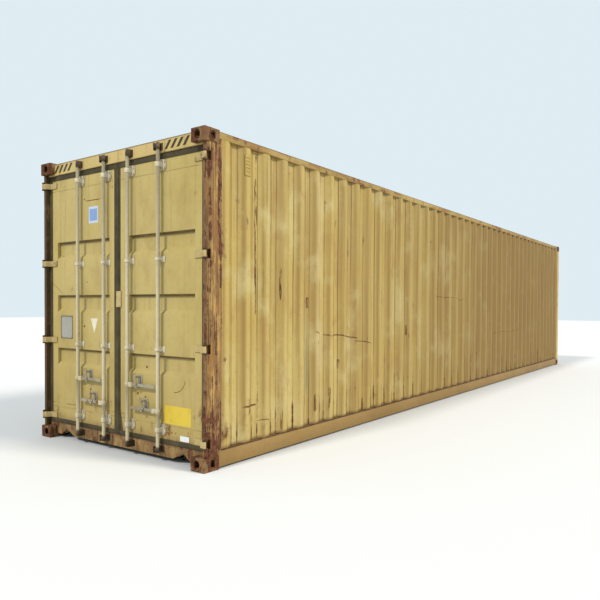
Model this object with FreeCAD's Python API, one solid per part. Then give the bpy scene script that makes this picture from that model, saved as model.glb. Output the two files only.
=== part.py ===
import FreeCAD, Part
import math
import os

os.makedirs("parts", exist_ok=True)

# Forty-foot high-cube steel freight container, all sizes in millimetres.
# Row frame: origin at the bottom centre, X along the length with the doors at -X,
# Y across the width with the left door at +Y, Z up.

# ---------------------------------------------------------------- overall sizes
length = 12192.0
width = 2438.0
height = 2896.0

# ---------------------------------------------------------------- running clearances
pin_gap = 0.5            # radial play of a pin in its bore
face_gap = 0.5           # play between two faces that turn on each other
seal_gap = 3.0           # rubber seal to jamb, header, sill and the other leaf
turn_gap = 5.0           # free space round a swinging piece
cam_gap = 2.0            # cam claw to keeper lip

# ---------------------------------------------------------------- corner castings
casting_length = 178.0
casting_width = 162.0
casting_height = 118.0
casting_wall = 14.0
casting_base = 29.0      # thick plate with the twistlock aperture
casting_edge = 6.0
lock_length = 124.5      # twistlock aperture, along the container
lock_width = 63.5
lock_from_end = 103.5
lock_from_side = 89.5
face_hole_height = 79.5
end_hole_width = 63.5
side_hole_width = 51.0

# ---------------------------------------------------------------- rear corner posts
post_front = 30.0        # front face, behind the end plane
post_strip = 9.0         # narrow front strip, in from the side plane
post_step = 57.0         # where the raised side face begins
post_raised = 3.0
post_depth = 158.0
post_inner = 49.0        # jamb face
post_wall = 6.0
post_outer_wall = 8.0
flange_end = 215.0       # flange that carries the side wall
flange_wall = 6.0

# ---------------------------------------------------------------- door header and sill
header_front = 58.0
header_below = 12.0      # lower edge, below the underside of the top castings
header_top_drop = 12.0   # below the top of the castings
header_depth = 92.0
header_wall = 6.0
sill_front = 80.0
sill_over = 42.0         # top face, above the top of the bottom castings
sill_low = 40.0
sill_depth = 70.0
sill_wall = 8.0
notch_outer = 247.0      # relief in the lower edge of the sill, in from the side plane
notch_peak = 340.0
notch_inner = 472.0
notch_height = 63.0

# ---------------------------------------------------------------- walls, roof, rails
wall_sheet = 2.0
wall_outer = 8.0
wall_trough = 36.0
wall_flat_out = 72.0
wall_flat_in = 70.0
wall_slope = 68.0
wall_phase = 546.0       # centre of an outer flat, behind the door end plane
end_sheet = 2.0
end_outer = 8.0
end_trough = 45.0
end_flat_out = 110.0
end_flat_in = 104.0
end_slope = 18.0
roof_sheet = 2.0
roof_drop = 12.0         # roof crest below the top of the castings
roof_trough = 20.0
roof_flat_out = 91.0
roof_flat_in = 68.0
roof_slope = 25.0
top_rail_size = 60.0
top_rail_wall = 3.0
top_rail_drop = 12.0
top_rail_inset = 6.0
bottom_rail_low = 17.0
bottom_rail_wall = 4.5
bottom_rail_flange_top = 42.0
bottom_rail_flange_low = 30.0
bottom_rail_inset = 6.0

# ---------------------------------------------------------------- closed end frame
front_post_face = 3.0
front_post_depth = 150.0
front_post_width = 60.0
front_post_wall = 6.0
front_rail_depth = 60.0
front_rail_wall = 4.0
front_sill_depth = 60.0
front_sill_wall = 6.0

# ---------------------------------------------------------------- floor and underframe
floor_thickness = 28.0
floor_under = 18.0       # underside, below the top of the sill
floor_edge_gap = 3.0
member_flange = 45.0
member_wall = 4.0
member_pitch = 300.0
tunnel_length = 3500.0
tunnel_width = 1029.0
tunnel_wall = 4.0
tunnel_plate = 12.0
tunnel_foot = 30.0

# ---------------------------------------------------------------- doors
leaf_front = 76.0        # outer face of a leaf, behind the end plane
leaf_thick = 50.0
leaf_inner = 17.0        # free edge of a leaf, from the centre plane
leaf_side = 21.0         # hinge edge of a leaf to the jamb
stile_wall = 4.0
rail_wall = 4.0
inner_stile = 133.0
outer_stile = 119.0
bottom_rail = 155.0
top_rail = 151.0
panel_sheet = 3.0
trough_depth = 36.0
trough_flat = 115.0
trough_slope = 30.0
trough_places = [0.762, 0.5176, 0.274]      # upper edges, as shares of the panel
seal_edge = 12.0         # rubber beyond the steel, above and below
seal_back = 120.0
lip_thick = 5.0
lip_side = 30.0          # lip over the hinge stile
lip_top = 39.0
lip_bottom = 30.0
overlap_width = 70.0     # plate over the joint between the leaves
overlap_low = 1387.0
overlap_high = 1540.0
overlap_thick = 6.0

# ---------------------------------------------------------------- hinges
hinge_low = 60.0         # lowest hinge above the leaf's lower edge
hinge_high = 91.0        # highest hinge below its upper edge
hinge_places = [0.0, 0.33, 0.662, 1.0]      # shares of the way up between them
hinge_u = 19.0           # pin axis, behind the end plane
hinge_s = 17.0           # pin axis, in from the side plane
pin_radius = 8.0
pin_head = 11.0
pin_head_thick = 4.0
knuckle_radius = 14.5
blade_height = 56.0
blade_thick = 12.0
blade_rake = 26.0        # sideways run of the crank
blade_end = 185.0
lug_thick = 12.0
lug_radius = 14.5
pocket_end = 79.0
pocket_inner = 34.0

# ---------------------------------------------------------------- lock rods
rod_u = 30.0
rod_radius = 17.0
rod_wall = 4.0
rod_below = 77.0         # lower end, below the sill's top face
rod_above = 86.0         # upper end, above the header's lower edge
outer_rod = 606.0        # from the centre plane
inner_rod = 180.0
bracket_low = 115.0      # large bracket above the leaf's lower edge
bracket_high = 91.0      # large bracket below its upper edge
bracket_places = [0.2996, 0.6564]           # small brackets, as shares of the panel
bracket_radius = 25.0
bracket_large = (110.0, 76.0, 40.0)    # base width, base height, guide height
bracket_small = (90.0, 56.0, 28.0)
bracket_base = 5.0
cam_radius = 32.0
cam_hub = 19.0
cam_front_angle = 50.0
cam_back_angle = 20.0
cam_thick = 32.0
low_cam = 67.0           # lower cam, below the sill's top face
high_cam = 36.0          # upper cam, above the header's lower edge
keeper_wall = 7.0
keeper_angle = 45.0
keeper_base = 5.0
low_keeper = (80.0, 22.0)     # below the sill's top face
high_keeper = (18.0, 84.0)    # above the header's lower edge

# ---------------------------------------------------------------- handles
high_hub = 668.0
low_hub = 452.0
hub_radius = 24.0
hub_height = 42.0
handle_thick = 10.0
handle_height = 28.0
handle_length = 380.0
clevis_plate = 7.0
clevis_reach = 72.0
rivet_reach = 55.0
rivet_radius = 6.0
handle_eye = 15.0

# ---------------------------------------------------------------- retainers and catches
retainer_reach = {1: 160.0, 2: 198.0, 3: 134.0, 4: 213.0}
retainer_width = 60.0
retainer_plate = 5.0
cradle_width = 28.0
cradle_wall = 4.0
cradle_floor = 6.0
cradle_gap = 4.0
cradle_lip = 8.0
lip_gap = 5.0
catch_rise = 74.0        # pin above the handle
catch_pin = 5.0
catch_eye = 13.0
catch_thick = 6.0
catch_shank = 18.0
catch_foot = 20.0
catch_arm = 16.0
catch_head = 3.5

# ---------------------------------------------------------------- ventilators
vent_width = 75.0
vent_height = 186.0
vent_drop = 251.0        # lower edge, below the top rail
vent_thick = 7.0
vent_slots = 5

# ---------------------------------------------------------------- derived places
half_length = length / 2.0
half_width = width / 2.0
door_end = -half_length
V = FreeCAD.Vector
nodes = {}

header_low = height - casting_height - header_below
sill_top = casting_height + sill_over
bottom_rail_top = sill_top
floor_low = sill_top - floor_under
tunnel_roof = floor_low - tunnel_plate
leaf_outer = post_inner + leaf_side
seal_low = sill_top + seal_gap
seal_high = header_low - seal_gap
leaf_low = seal_low + seal_edge
leaf_high = seal_high - seal_edge
panel_low = leaf_low + bottom_rail
panel_high = leaf_high - top_rail
trough_tops = [panel_low + share * (panel_high - panel_low) for share in trough_places]
hinge_first, hinge_last = leaf_low + hinge_low, leaf_high - hinge_high
hinge_heights = [hinge_first + share * (hinge_last - hinge_first) for share in hinge_places]
blade_front = post_front - turn_gap - blade_thick
blade_bend = post_inner + turn_gap
blade_land = blade_bend + blade_rake
rod_low, rod_high = sill_top - rod_below, header_low + rod_above
bracket_large_heights = [leaf_low + bracket_low, leaf_high - bracket_high]
bracket_small_heights = [panel_low + share * (panel_high - panel_low) for share in bracket_places]


def box(x0, x1, y0, y1, z0, z1):
    """A box from its limits, whichever way round they are given."""
    return Part.makeBox(abs(x1 - x0), abs(y1 - y0), abs(z1 - z0),
                        V(min(x0, x1), min(y0, y1), min(z0, z1)))


def prism(points, direction):
    """A closed polygon of vectors pushed along a direction."""
    return Part.Face(Part.makePolygon(points + [points[0]])).extrude(direction)


def plan(points, z0, z1):
    """A prism from (u, s) points of the door end, left side, between two heights."""
    return prism([V(door_end + u, half_width - s, z0) for u, s in points], V(0, 0, z1 - z0))


def cyl(point, axis, radius, height):
    return Part.makeCylinder(radius, height, point, axis)


def mirror_y(shape):
    return shape.mirror(V(0, 0, 0), V(0, 1, 0))


def mirror_x(shape):
    return shape.mirror(V(0, 0, 0), V(1, 0, 0))


def both_sides(shapes):
    return shapes + [mirror_y(shape) for shape in shapes]


def fuse(shapes):
    whole = shapes[0]
    for shape in shapes[1:]:
        whole = whole.fuse(shape)
    return whole.removeSplitter()


def add(name, shapes):
    nodes[name] = [solid for shape in shapes for solid in shape.Solids]


def stadium(centre, along, across, normal, long_size, short_size, depth):
    """A slot cutter with round ends, centred on a point, long along one direction."""
    radius = short_size / 2.0
    half = long_size / 2.0 - radius
    a, b = V(along) * half, V(across) * radius
    start = centre - a + b
    edges = [Part.makeLine(start, centre + a + b),
             Part.Arc(centre + a + b, centre + a + V(along) * radius, centre + a - b).toShape(),
             Part.makeLine(centre + a - b, centre - a - b),
             Part.Arc(centre - a - b, centre - a - V(along) * radius, start).toShape()]
    return Part.Face(Part.Wire(edges)).extrude(V(normal) * depth)


# ================================================================ corner castings
# Door end, left side, bottom; the other seven are mirror images.
cl, cw, ch = casting_length, casting_width, casting_height
x0, y0 = door_end, half_width
block = box(x0, x0 + cl, y0 - cw, y0, 0, ch)
outer_edges = [e for e in block.Edges
               if (abs(e.CenterOfMass.x - x0) < 1 and abs(e.CenterOfMass.y - y0) < 1)
               or (abs(e.CenterOfMass.x - x0) < 1 and e.CenterOfMass.z < 1)
               or (abs(e.CenterOfMass.y - y0) < 1 and e.CenterOfMass.z < 1)]
block = block.makeFillet(casting_edge, outer_edges)
hollow = box(x0 + casting_wall, x0 + cl - casting_wall, y0 - cw + casting_wall, y0 - casting_wall,
             casting_base, ch - casting_wall)
lock_centre = V(x0 + lock_from_end, y0 - lock_from_side, -1)
end_centre = V(x0 - 1, y0 - lock_from_side, ch / 2.0)
side_centre = V(x0 + lock_from_end, y0 + 1, ch / 2.0)
casting = block.cut(hollow)
casting = casting.cut(stadium(lock_centre, (1, 0, 0), (0, 1, 0), (0, 0, 1),
                              lock_length, lock_width, casting_base + 2))
casting = casting.cut(stadium(end_centre, (0, 0, 1), (0, 1, 0), (1, 0, 0),
                              face_hole_height, end_hole_width, casting_wall + 2))
casting = casting.cut(stadium(side_centre, (0, 0, 1), (1, 0, 0), (0, -1, 0),
                              face_hole_height, side_hole_width, casting_wall + 2))
low_four = both_sides([casting, mirror_x(casting)])
high_four = [s.mirror(V(0, 0, height / 2.0), V(0, 0, 1)) for s in low_four]
add("bottom_corner_castings", low_four)
add("top_corner_castings", high_four)

post_low, post_high = ch, height - ch

# ================================================================ hinge stations on the left side
lug_low = [h - blade_height / 2.0 - face_gap - lug_thick for h in hinge_heights]
lug_high = [h + blade_height / 2.0 + face_gap for h in hinge_heights]
pin_x, pin_y = door_end + hinge_u, half_width - hinge_s

# ================================================================ rear corner posts
top_rail_low = height - top_rail_drop - top_rail_size
post_section = [(post_front, post_strip), (post_step, post_strip), (post_step, post_raised),
                (post_depth, post_raised), (post_depth, post_inner), (post_front, post_inner)]
post = plan(post_section, post_low, post_high)
core = plan([(post_front + post_wall, post_strip + post_outer_wall),
             (post_depth - post_wall, post_strip + post_outer_wall),
             (post_depth - post_wall, post_inner - post_wall),
             (post_front + post_wall, post_inner - post_wall)], post_low - 1, post_high + 1)
fy0, fy1 = half_width - wall_outer, half_width - wall_outer - flange_wall
fx0, fx1, fx2 = door_end + post_depth, door_end + cl, door_end + flange_end
flange = prism([V(fx0, fy1, post_low), V(fx1, fy1, post_low), V(fx1, fy1, bottom_rail_top),
                V(fx2, fy1, bottom_rail_top), V(fx2, fy1, top_rail_low), V(fx1, fy1, top_rail_low),
                V(fx1, fy1, post_high), V(fx0, fy1, post_high)], V(0, fy0 - fy1, 0))
post = post.fuse(flange).removeSplitter().cut(core)
for low, high in zip(lug_low, lug_high):
    post = post.cut(plan([(post_front - 1, -1), (pocket_end, -1), (pocket_end, pocket_inner),
                          (post_front - 1, pocket_inner)], low, high + lug_thick))
add("rear_corner_posts", both_sides([post]))

# ================================================================ hinge lugs and pins
lugs, pins = [], []
tail = [(hinge_u - 6.0, hinge_s - lug_radius + 2.0), (post_step, post_strip),
        (post_step, pocket_inner), (post_front, pocket_inner), (hinge_u - 6.0, hinge_s + lug_radius - 2.0)]
for low, high in zip(lug_low, lug_high):
    for z in (low, high):
        lug = plan(tail, z, z + lug_thick)
        lug = lug.fuse(cyl(V(pin_x, pin_y, z), V(0, 0, 1), lug_radius, lug_thick))
        lugs.append(lug.removeSplitter().cut(cyl(V(pin_x, pin_y, z - 1), V(0, 0, 1), pin_radius,
                                                 lug_thick + 2)))
    stem = cyl(V(pin_x, pin_y, low), V(0, 0, 1), pin_radius, high + lug_thick - low)
    head = cyl(V(pin_x, pin_y, high + lug_thick), V(0, 0, 1), pin_head, pin_head_thick)
    pins.append(stem.fuse(head).removeSplitter())
add("hinge_lugs", both_sides(lugs))
add("hinge_pins", both_sides(pins))

# ================================================================ door header
header_top = height - header_top_drop
hx0, hx1 = door_end + header_front, door_end + header_front + header_depth
jamb_y, inner_y = half_width - post_inner, half_width - cw
outline = [V(hx0, -jamb_y, header_low), V(hx0, jamb_y, header_low), V(hx0, jamb_y, post_high),
           V(hx0, inner_y, post_high), V(hx0, inner_y, header_top), V(hx0, -inner_y, header_top),
           V(hx0, -inner_y, post_high), V(hx0, -jamb_y, post_high)]
header = prism(outline, V(header_depth, 0, 0))
w = header_wall
header = header.cut(box(hx0 + w, hx1 + 1, -inner_y + w, inner_y - w, header_low + w, header_top - w))
add("door_header", [header])

# ================================================================ door sill
sx0, sx1 = door_end + sill_front, door_end + sill_front + sill_depth
n_out, n_peak, n_in = half_width - notch_outer, half_width - notch_peak, half_width - notch_inner
n_z = sill_low + notch_height
outline = [V(sx0, -n_in, sill_low), V(sx0, n_in, sill_low), V(sx0, n_peak, n_z), V(sx0, n_out, sill_low),
           V(sx0, inner_y, sill_low), V(sx0, inner_y, ch), V(sx0, jamb_y, ch), V(sx0, jamb_y, sill_top),
           V(sx0, -jamb_y, sill_top), V(sx0, -jamb_y, ch), V(sx0, -inner_y, ch), V(sx0, -inner_y, sill_low),
           V(sx0, -n_out, sill_low), V(sx0, -n_peak, n_z)]
sill = prism(outline, V(sill_depth, 0, 0))
w = sill_wall
sill = sill.cut(box(sx0 + w, sx1 - w, -inner_y + w, inner_y - w, sill_low - 1, sill_top - w))
add("door_sill", [sill])

# ================================================================ side rails
rail_end = half_length - cl
ty0 = half_width - top_rail_inset
ty1 = ty0 - top_rail_size
tz0 = top_rail_low
rail = box(-rail_end, rail_end, ty1, ty0, tz0, tz0 + top_rail_size)
w = top_rail_wall
rail = rail.cut(box(-rail_end - 1, rail_end + 1, ty1 + w, ty0 - w, tz0 + w, tz0 + top_rail_size - w))
add("top_side_rails", both_sides([rail]))

by0 = half_width - bottom_rail_inset
w = bottom_rail_wall
section = [(0, bottom_rail_low), (0, bottom_rail_top), (bottom_rail_flange_top, bottom_rail_top),
           (bottom_rail_flange_top, bottom_rail_top - w), (w, bottom_rail_top - w),
           (w, bottom_rail_low + w), (bottom_rail_flange_low, bottom_rail_low + w),
           (bottom_rail_flange_low, bottom_rail_low)]
rail = prism([V(-rail_end, by0 - s, z) for s, z in section], V(2 * rail_end, 0, 0))
add("bottom_side_rails", both_sides([rail]))


def ripple(start, end, phase, flat_out, slope, flat_in, depth):
    """Fold points (along, in) of a pressed sheet from start to end, flat at both ends."""
    pitch = flat_out + flat_in + 2.0 * slope
    margin = flat_out / 8.0
    first = math.ceil((start + margin - phase + flat_out / 2.0) / pitch)
    points = [(start, 0.0)]
    centre = phase + first * pitch
    while centre + pitch - flat_out / 2.0 + margin <= end:
        a = centre + flat_out / 2.0
        points += [(a, 0.0), (a + slope, depth), (a + slope + flat_in, depth),
                   (a + 2.0 * slope + flat_in, 0.0)]
        centre += pitch
    return points + [(end, 0.0)]


def thicken(points, sheet):
    """Outline of a sheet of even thickness whose outer face follows the fold points."""
    count = len(points)
    normals = []
    for (a0, d0), (a1, d1) in zip(points, points[1:]):
        size = math.hypot(a1 - a0, d1 - d0)
        normals.append((-(d1 - d0) / size, (a1 - a0) / size))
    back = []
    for i in range(count):
        before = normals[max(i - 1, 0)]
        after = normals[min(i, count - 2)]
        scale = sheet / (1.0 + before[0] * after[0] + before[1] * after[1])
        back.append((points[i][0] + (before[0] + after[0]) * scale,
                     points[i][1] + (before[1] + after[1]) * scale))
    return points + back[::-1]


# ================================================================ side walls
wall_low, wall_high = bottom_rail_top, top_rail_low
wall_start, wall_stop = flange_end, length - front_post_face - front_post_depth
folds = ripple(wall_start, wall_stop, wall_phase, wall_flat_out, wall_slope, wall_flat_in, wall_trough)
outline = thicken(folds, wall_sheet)
wall = prism([V(door_end + a, half_width - wall_outer - d, wall_low) for a, d in outline],
             V(0, 0, wall_high - wall_low))
wall = wall.cut(box(rail_end, half_length, inner_y, half_width, post_high, height))
add("left_side_wall", [wall])
add("right_side_wall", [mirror_y(wall)])

# ================================================================ closed end frame
fp0 = half_length - front_post_face
fp1 = fp0 - front_post_depth
py0 = half_width - post_raised
py1 = py0 - front_post_width
w = front_post_wall
front_post = box(fp1, fp0, py1, py0, post_low, post_high)
front_post = front_post.cut(box(fp1 + w, fp0 - w, py1 + w, py0 - w, post_low - 1, post_high + 1))
front_post = front_post.fuse(box(rail_end, fp1, fy1, fy0, post_low, bottom_rail_top))
add("front_corner_posts", both_sides([front_post]))

rail_top = height - top_rail_drop
fx = half_length - end_outer + 2.0
front_rail = box(fx - front_rail_depth, fx, -inner_y, inner_y, post_high, rail_top)
w = front_rail_wall
front_rail = front_rail.cut(box(fx - front_rail_depth + w, fx - w, -inner_y - 1, inner_y + 1,
                                post_high + w, rail_top - w))
add("front_top_rail", [front_rail])

half_tunnel = tunnel_width / 2.0
w = front_sill_wall
sill_parts = []
for side in (-1, 1):
    a, b = side * half_tunnel, side * inner_y
    piece = box(fx - front_sill_depth, fx, a, b, bottom_rail_low, tunnel_roof)
    inside = box(fx - front_sill_depth - 1, fx - w, a + side * w, b, bottom_rail_low + w, tunnel_roof)
    sill_parts.append(piece.cut(inside))
    sill_parts.append(box(fx - front_sill_depth, fx, side * inner_y, side * py1, post_low, bottom_rail_top))
sill_parts.append(box(fx - front_sill_depth, fx, -inner_y, inner_y, tunnel_roof, bottom_rail_top))
add("front_sill", sill_parts)

# ================================================================ closed end wall
folds = ripple(-py1, py1, 0.0, end_flat_out, end_slope, end_flat_in, end_trough)
outline = thicken(folds, end_sheet)
end_wall = prism([V(half_length - end_outer - d, a, bottom_rail_top) for a, d in outline],
                 V(0, 0, post_high - bottom_rail_top))
add("front_end_wall", [end_wall])

# ================================================================ roof
roof_x0, roof_x1 = hx1, fx - front_rail_depth
roof_top = height - roof_drop
folds = ripple(roof_x0, roof_x1, roof_x0 + roof_flat_out, roof_flat_out, roof_slope, roof_flat_in,
               roof_trough)
outline = thicken(folds, roof_sheet)
roof = prism([V(a, -ty1, roof_top - d) for a, d in outline], V(0, 2 * ty1, 0))
for sx in (-1, 1):
    for sy in (-1, 1):
        roof = roof.cut(box(sx * rail_end, sx * half_length, sy * inner_y, sy * half_width,
                            post_high, height))
add("roof_panel", [roof])

# ================================================================ floor and underframe
floor_x0 = sx1
floor_x1 = fx - front_sill_depth
floor_y = half_width - wall_outer - wall_trough - wall_sheet - floor_edge_gap
floor = box(floor_x0, floor_x1, -floor_y, floor_y, floor_low, floor_low + floor_thickness)
for side in (-1, 1):
    floor = floor.cut(box(rail_end, half_length, side * py1, side * half_width,
                          floor_low, floor_low + floor_thickness))
    floor = floor.cut(box(door_end, door_end + post_depth, side * jamb_y, side * half_width,
                          floor_low, floor_low + floor_thickness))
add("floor_boards", [floor])

rail_web = by0 - bottom_rail_wall
member_low = bottom_rail_low + bottom_rail_wall
tunnel_x0 = half_length - tunnel_length


def member(x, y_start, y_end):
    """A pressed channel across the container, its back to the doors."""
    f, t = member_flange, member_wall
    section = [(0, member_low), (f, member_low), (f, member_low + t), (t, member_low + t),
               (t, floor_low - t), (f, floor_low - t), (f, floor_low), (0, floor_low)]
    return prism([V(x + a, y_start, z) for a, z in section], V(0, y_end - y_start, 0))


members = []
x = floor_x0 + member_pitch / 2.0
while x + member_flange < rail_end:
    if x + member_flange < tunnel_x0:
        members.append(member(x, -rail_web, rail_web))
    elif x > tunnel_x0:
        members.append(member(x, half_tunnel, rail_web))
        members.append(member(x, -rail_web, -half_tunnel))
    x += member_pitch
add("cross_members", members)

w = tunnel_wall
tunnel = [box(tunnel_x0, floor_x1, -half_tunnel, half_tunnel, tunnel_roof, floor_low)]
for side in (-1, 1):
    a = side * half_tunnel
    tunnel.append(box(tunnel_x0, floor_x1, a, a - side * w, bottom_rail_low, tunnel_roof))
add("gooseneck_tunnel", tunnel)

# ================================================================ ventilators
vent_y = half_width - wall_outer


def ventilator(centre_x):
    vent_low = wall_high - vent_drop
    body = box(centre_x - vent_width / 2.0, centre_x + vent_width / 2.0, vent_y, vent_y + vent_thick,
               vent_low, vent_low + vent_height)
    pitch = vent_height / (vent_slots + 1.0)
    for i in range(vent_slots):
        z = vent_low + pitch * (i + 1)
        body = body.cut(box(centre_x - vent_width * 0.38, centre_x + vent_width * 0.38,
                            vent_y + vent_thick * 0.45, vent_y + vent_thick + 1,
                            z - pitch * 0.25, z + pitch * 0.25))
    return body


wall_pitch = wall_flat_out + wall_flat_in + 2.0 * wall_slope
far_count = math.floor((wall_stop - wall_phase - 2.0 * wall_pitch) / wall_pitch)
near_x = door_end + wall_phase
far_x = near_x + far_count * wall_pitch
add("ventilators", [mirror_y(ventilator(near_x)), ventilator(far_x)])

# ================================================================ door leaves
# Made for the left door, then mirrored.
leaf_back = leaf_front + leaf_thick
lx0, lx1 = door_end + leaf_front, door_end + leaf_back
ly0, ly1 = leaf_inner, half_width - leaf_outer
t = stile_wall
stiles = []
for a, b in ((ly0, ly0 + inner_stile), (ly1 - outer_stile, ly1)):
    tube = box(lx0, lx1, a, b, leaf_low, leaf_high)
    stiles.append(tube.cut(box(lx0 + t, lx1 - t, a + t, b - t, leaf_low - 1, leaf_high + 1)))
t = rail_wall
ra, rb = ly0 + inner_stile, ly1 - outer_stile
rails = []
for low, high in ((leaf_low, leaf_low + bottom_rail), (leaf_high - top_rail, leaf_high)):
    channel = box(lx0, lx1, ra, rb, low, high)
    rails.append(channel.cut(box(lx0 + t, lx1 + 1, ra - 1, rb + 1, low + t, high - t)))
leaf_frame = fuse(stiles + rails)

folds = [(panel_low, 0.0)]
for top in sorted(trough_tops):
    low = top - trough_flat - 2.0 * trough_slope
    folds += [(low, 0.0), (low + trough_slope, trough_depth),
              (low + trough_slope + trough_flat, trough_depth), (top, 0.0)]
folds.append((panel_high, 0.0))
outline = thicken(folds, panel_sheet)
leaf_panel = prism([V(lx0 + d, ra, z) for z, d in outline], V(0, rb - ra, 0))


# ================================================================ hinge blades
def blade(z):
    """Cranked strap from the pin across the post face to the hinge stile."""
    u0, u1 = blade_front, blade_front + blade_thick
    run_u, run_s = leaf_front - u1, blade_land - blade_bend
    size = math.hypot(run_u, run_s)
    off_u, off_s = -blade_thick * run_s / size, blade_thick * run_u / size
    corner_s = blade_bend + blade_thick * (size - run_s) / run_u
    top_u = leaf_front - blade_thick
    foot_s = blade_land + off_s + (top_u - (leaf_front + off_u)) * run_s / run_u
    points = [(u0, hinge_s), (u1, hinge_s), (u1, blade_bend), (leaf_front, blade_land),
              (leaf_front, blade_end), (top_u, blade_end), (top_u, foot_s), (u0, corner_s)]
    low = z - blade_height / 2.0
    strap = plan(points, low, low + blade_height)
    strap = strap.fuse(cyl(V(pin_x, pin_y, low), V(0, 0, 1), knuckle_radius, blade_height))
    return strap.removeSplitter().cut(cyl(V(pin_x, pin_y, low - 1), V(0, 0, 1), pin_radius + pin_gap,
                                          blade_height + 2))


blades = [blade(z) for z in hinge_heights]

# ================================================================ door seals
sy0, sy1 = seal_gap, half_width - post_inner - seal_gap
body = box(lx0, door_end + seal_back, sy0, sy1, seal_low, seal_high)
seal = body.cut(box(lx0 - 1, lx1 + 1, ly0, ly1, leaf_low, leaf_high))
lip_x = lx0 - lip_thick
lip = box(lip_x, lx0, sy0, sy1, seal_low, seal_high)
lip = lip.cut(box(lip_x - 1, lx0 + 1, sy0 - 1, ly1 - lip_side, leaf_low + lip_bottom, leaf_high - lip_top))
seal = seal.fuse(lip).removeSplitter()
for z in hinge_heights:
    seal = seal.cut(box(lip_x - 1, lx0, half_width - blade_end, sy1 + 1,
                        z - blade_height / 2.0 - 1.0, z + blade_height / 2.0 + 1.0))


# ================================================================ rod brackets
def bracket(y, z, sizes):
    base_width, base_height, guide = sizes
    x_rod = door_end + rod_u
    base = box(lx0 - bracket_base, lx0, y - base_width / 2.0, y + base_width / 2.0,
               z - base_height / 2.0, z + base_height / 2.0)
    arm = box(x_rod, lx0 - bracket_base, y - bracket_radius, y + bracket_radius,
              z - guide / 2.0, z + guide / 2.0)
    eye = cyl(V(x_rod, y, z - guide / 2.0), V(0, 0, 1), bracket_radius, guide)
    bore = cyl(V(x_rod, y, z - guide), V(0, 0, 1), rod_radius + pin_gap, 2 * guide)
    return fuse([base, arm, eye]).cut(bore)


brackets = []
for y in (outer_rod, inner_rod):
    brackets += [bracket(y, z, bracket_large) for z in bracket_large_heights]
    brackets += [bracket(y, z, bracket_small) for z in bracket_small_heights]

# ================================================================ keepers
def keeper(y, toward, front_u, low, high):
    """Claw keeper on the header or the sill, on the side the handle points to."""
    inner = cam_radius + cam_gap
    outer = inner + keeper_wall
    x_rod = door_end + rod_u
    ring = cyl(V(x_rod, y, low), V(0, 0, 1), outer, high - low)
    ring = ring.cut(cyl(V(x_rod, y, low - 1), V(0, 0, 1), inner, high - low + 2))
    a = math.radians(keeper_angle)
    reach = 2.0 * outer
    wedge = prism([V(x_rod, y, low), V(x_rod, y + toward * reach, low),
                   V(x_rod - reach * math.sin(a), y + toward * reach, low),
                   V(x_rod - reach * math.sin(a), y + toward * reach * math.cos(a), low)],
                  V(0, 0, high - low))
    lip = ring.common(wedge)
    web = box(x_rod, door_end + front_u, y + toward * inner, y + toward * outer, low, high)
    base = box(door_end + front_u - keeper_base, door_end + front_u,
               y - toward * inner, y + toward * (outer + keeper_wall), low, high)
    return fuse([lip, web, base])


rods = {1: (outer_rod, -1, high_hub), 2: (inner_rod, 1, low_hub),
        3: (-inner_rod, -1, high_hub), 4: (-outer_rod, 1, low_hub)}
add("header_keepers", [keeper(rods[n][0], rods[n][1], header_front,
                              header_low + high_keeper[0], header_low + high_keeper[1]) for n in rods])
add("sill_keepers", [keeper(rods[n][0], rods[n][1], sill_front,
                            sill_top - low_keeper[0], sill_top - low_keeper[1]) for n in rods])


# ================================================================ lock rods
def cam(y, toward, low):
    x_rod = door_end + rod_u
    hub = cyl(V(x_rod, y, low), V(0, 0, 1), cam_hub, cam_thick)
    claw = cyl(V(x_rod, y, low), V(0, 0, 1), cam_radius, cam_thick)
    reach = 3.0 * cam_radius
    front, back = math.radians(cam_front_angle), math.radians(cam_back_angle)
    wedge = prism([V(x_rod, y, low),
                   V(x_rod + reach * math.sin(back), y + toward * reach * math.cos(back), low),
                   V(x_rod - reach * math.sin(front), y + toward * reach * math.cos(front), low)],
                  V(0, 0, cam_thick))
    return fuse([hub, claw.common(wedge)])


def lock_rod(y, toward, hub_z):
    x_rod = door_end + rod_u
    tube = cyl(V(x_rod, y, rod_low), V(0, 0, 1), rod_radius, rod_high - rod_low)
    collar = cyl(V(x_rod, y, hub_z - hub_height / 2.0), V(0, 0, 1), hub_radius, hub_height)
    inside = handle_thick / 2.0 + face_gap
    tip = y + toward * clevis_reach
    plates = [box(x_rod + s * inside, x_rod + s * (inside + clevis_plate), y, tip,
                  hub_z - hub_height / 2.0, hub_z + hub_height / 2.0) for s in (-1, 1)]
    rivet = cyl(V(x_rod - inside - clevis_plate, y + toward * rivet_reach, hub_z), V(1, 0, 0),
                rivet_radius, 2.0 * (inside + clevis_plate))
    whole = fuse([tube, collar, cam(y, toward, sill_top - low_cam),
                  cam(y, toward, header_low + high_cam)] + plates + [rivet])
    bore = cyl(V(x_rod, y, rod_low - 1), V(0, 0, 1), rod_radius - rod_wall, rod_high - rod_low + 2)
    return whole.cut(bore)


def handle(y, toward, hub_z):
    """Flat bar with a round eye on the rivet and a rounded grip end."""
    x_rod = door_end + rod_u
    x_face = x_rod - handle_thick / 2.0
    eye_y = y + toward * rivet_reach
    end_y = y + toward * (handle_length - handle_height / 2.0)
    bar = box(x_face, x_face + handle_thick, eye_y, end_y,
              hub_z - handle_height / 2.0, hub_z + handle_height / 2.0)
    eye = cyl(V(x_face, eye_y, hub_z), V(1, 0, 0), handle_eye, handle_thick)
    grip = cyl(V(x_face, end_y, hub_z), V(1, 0, 0), handle_height / 2.0, handle_thick)
    hole = cyl(V(x_face - 1, eye_y, hub_z), V(1, 0, 0), rivet_radius + pin_gap, handle_thick + 2)
    return fuse([bar, eye, grip]).cut(hole)


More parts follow.
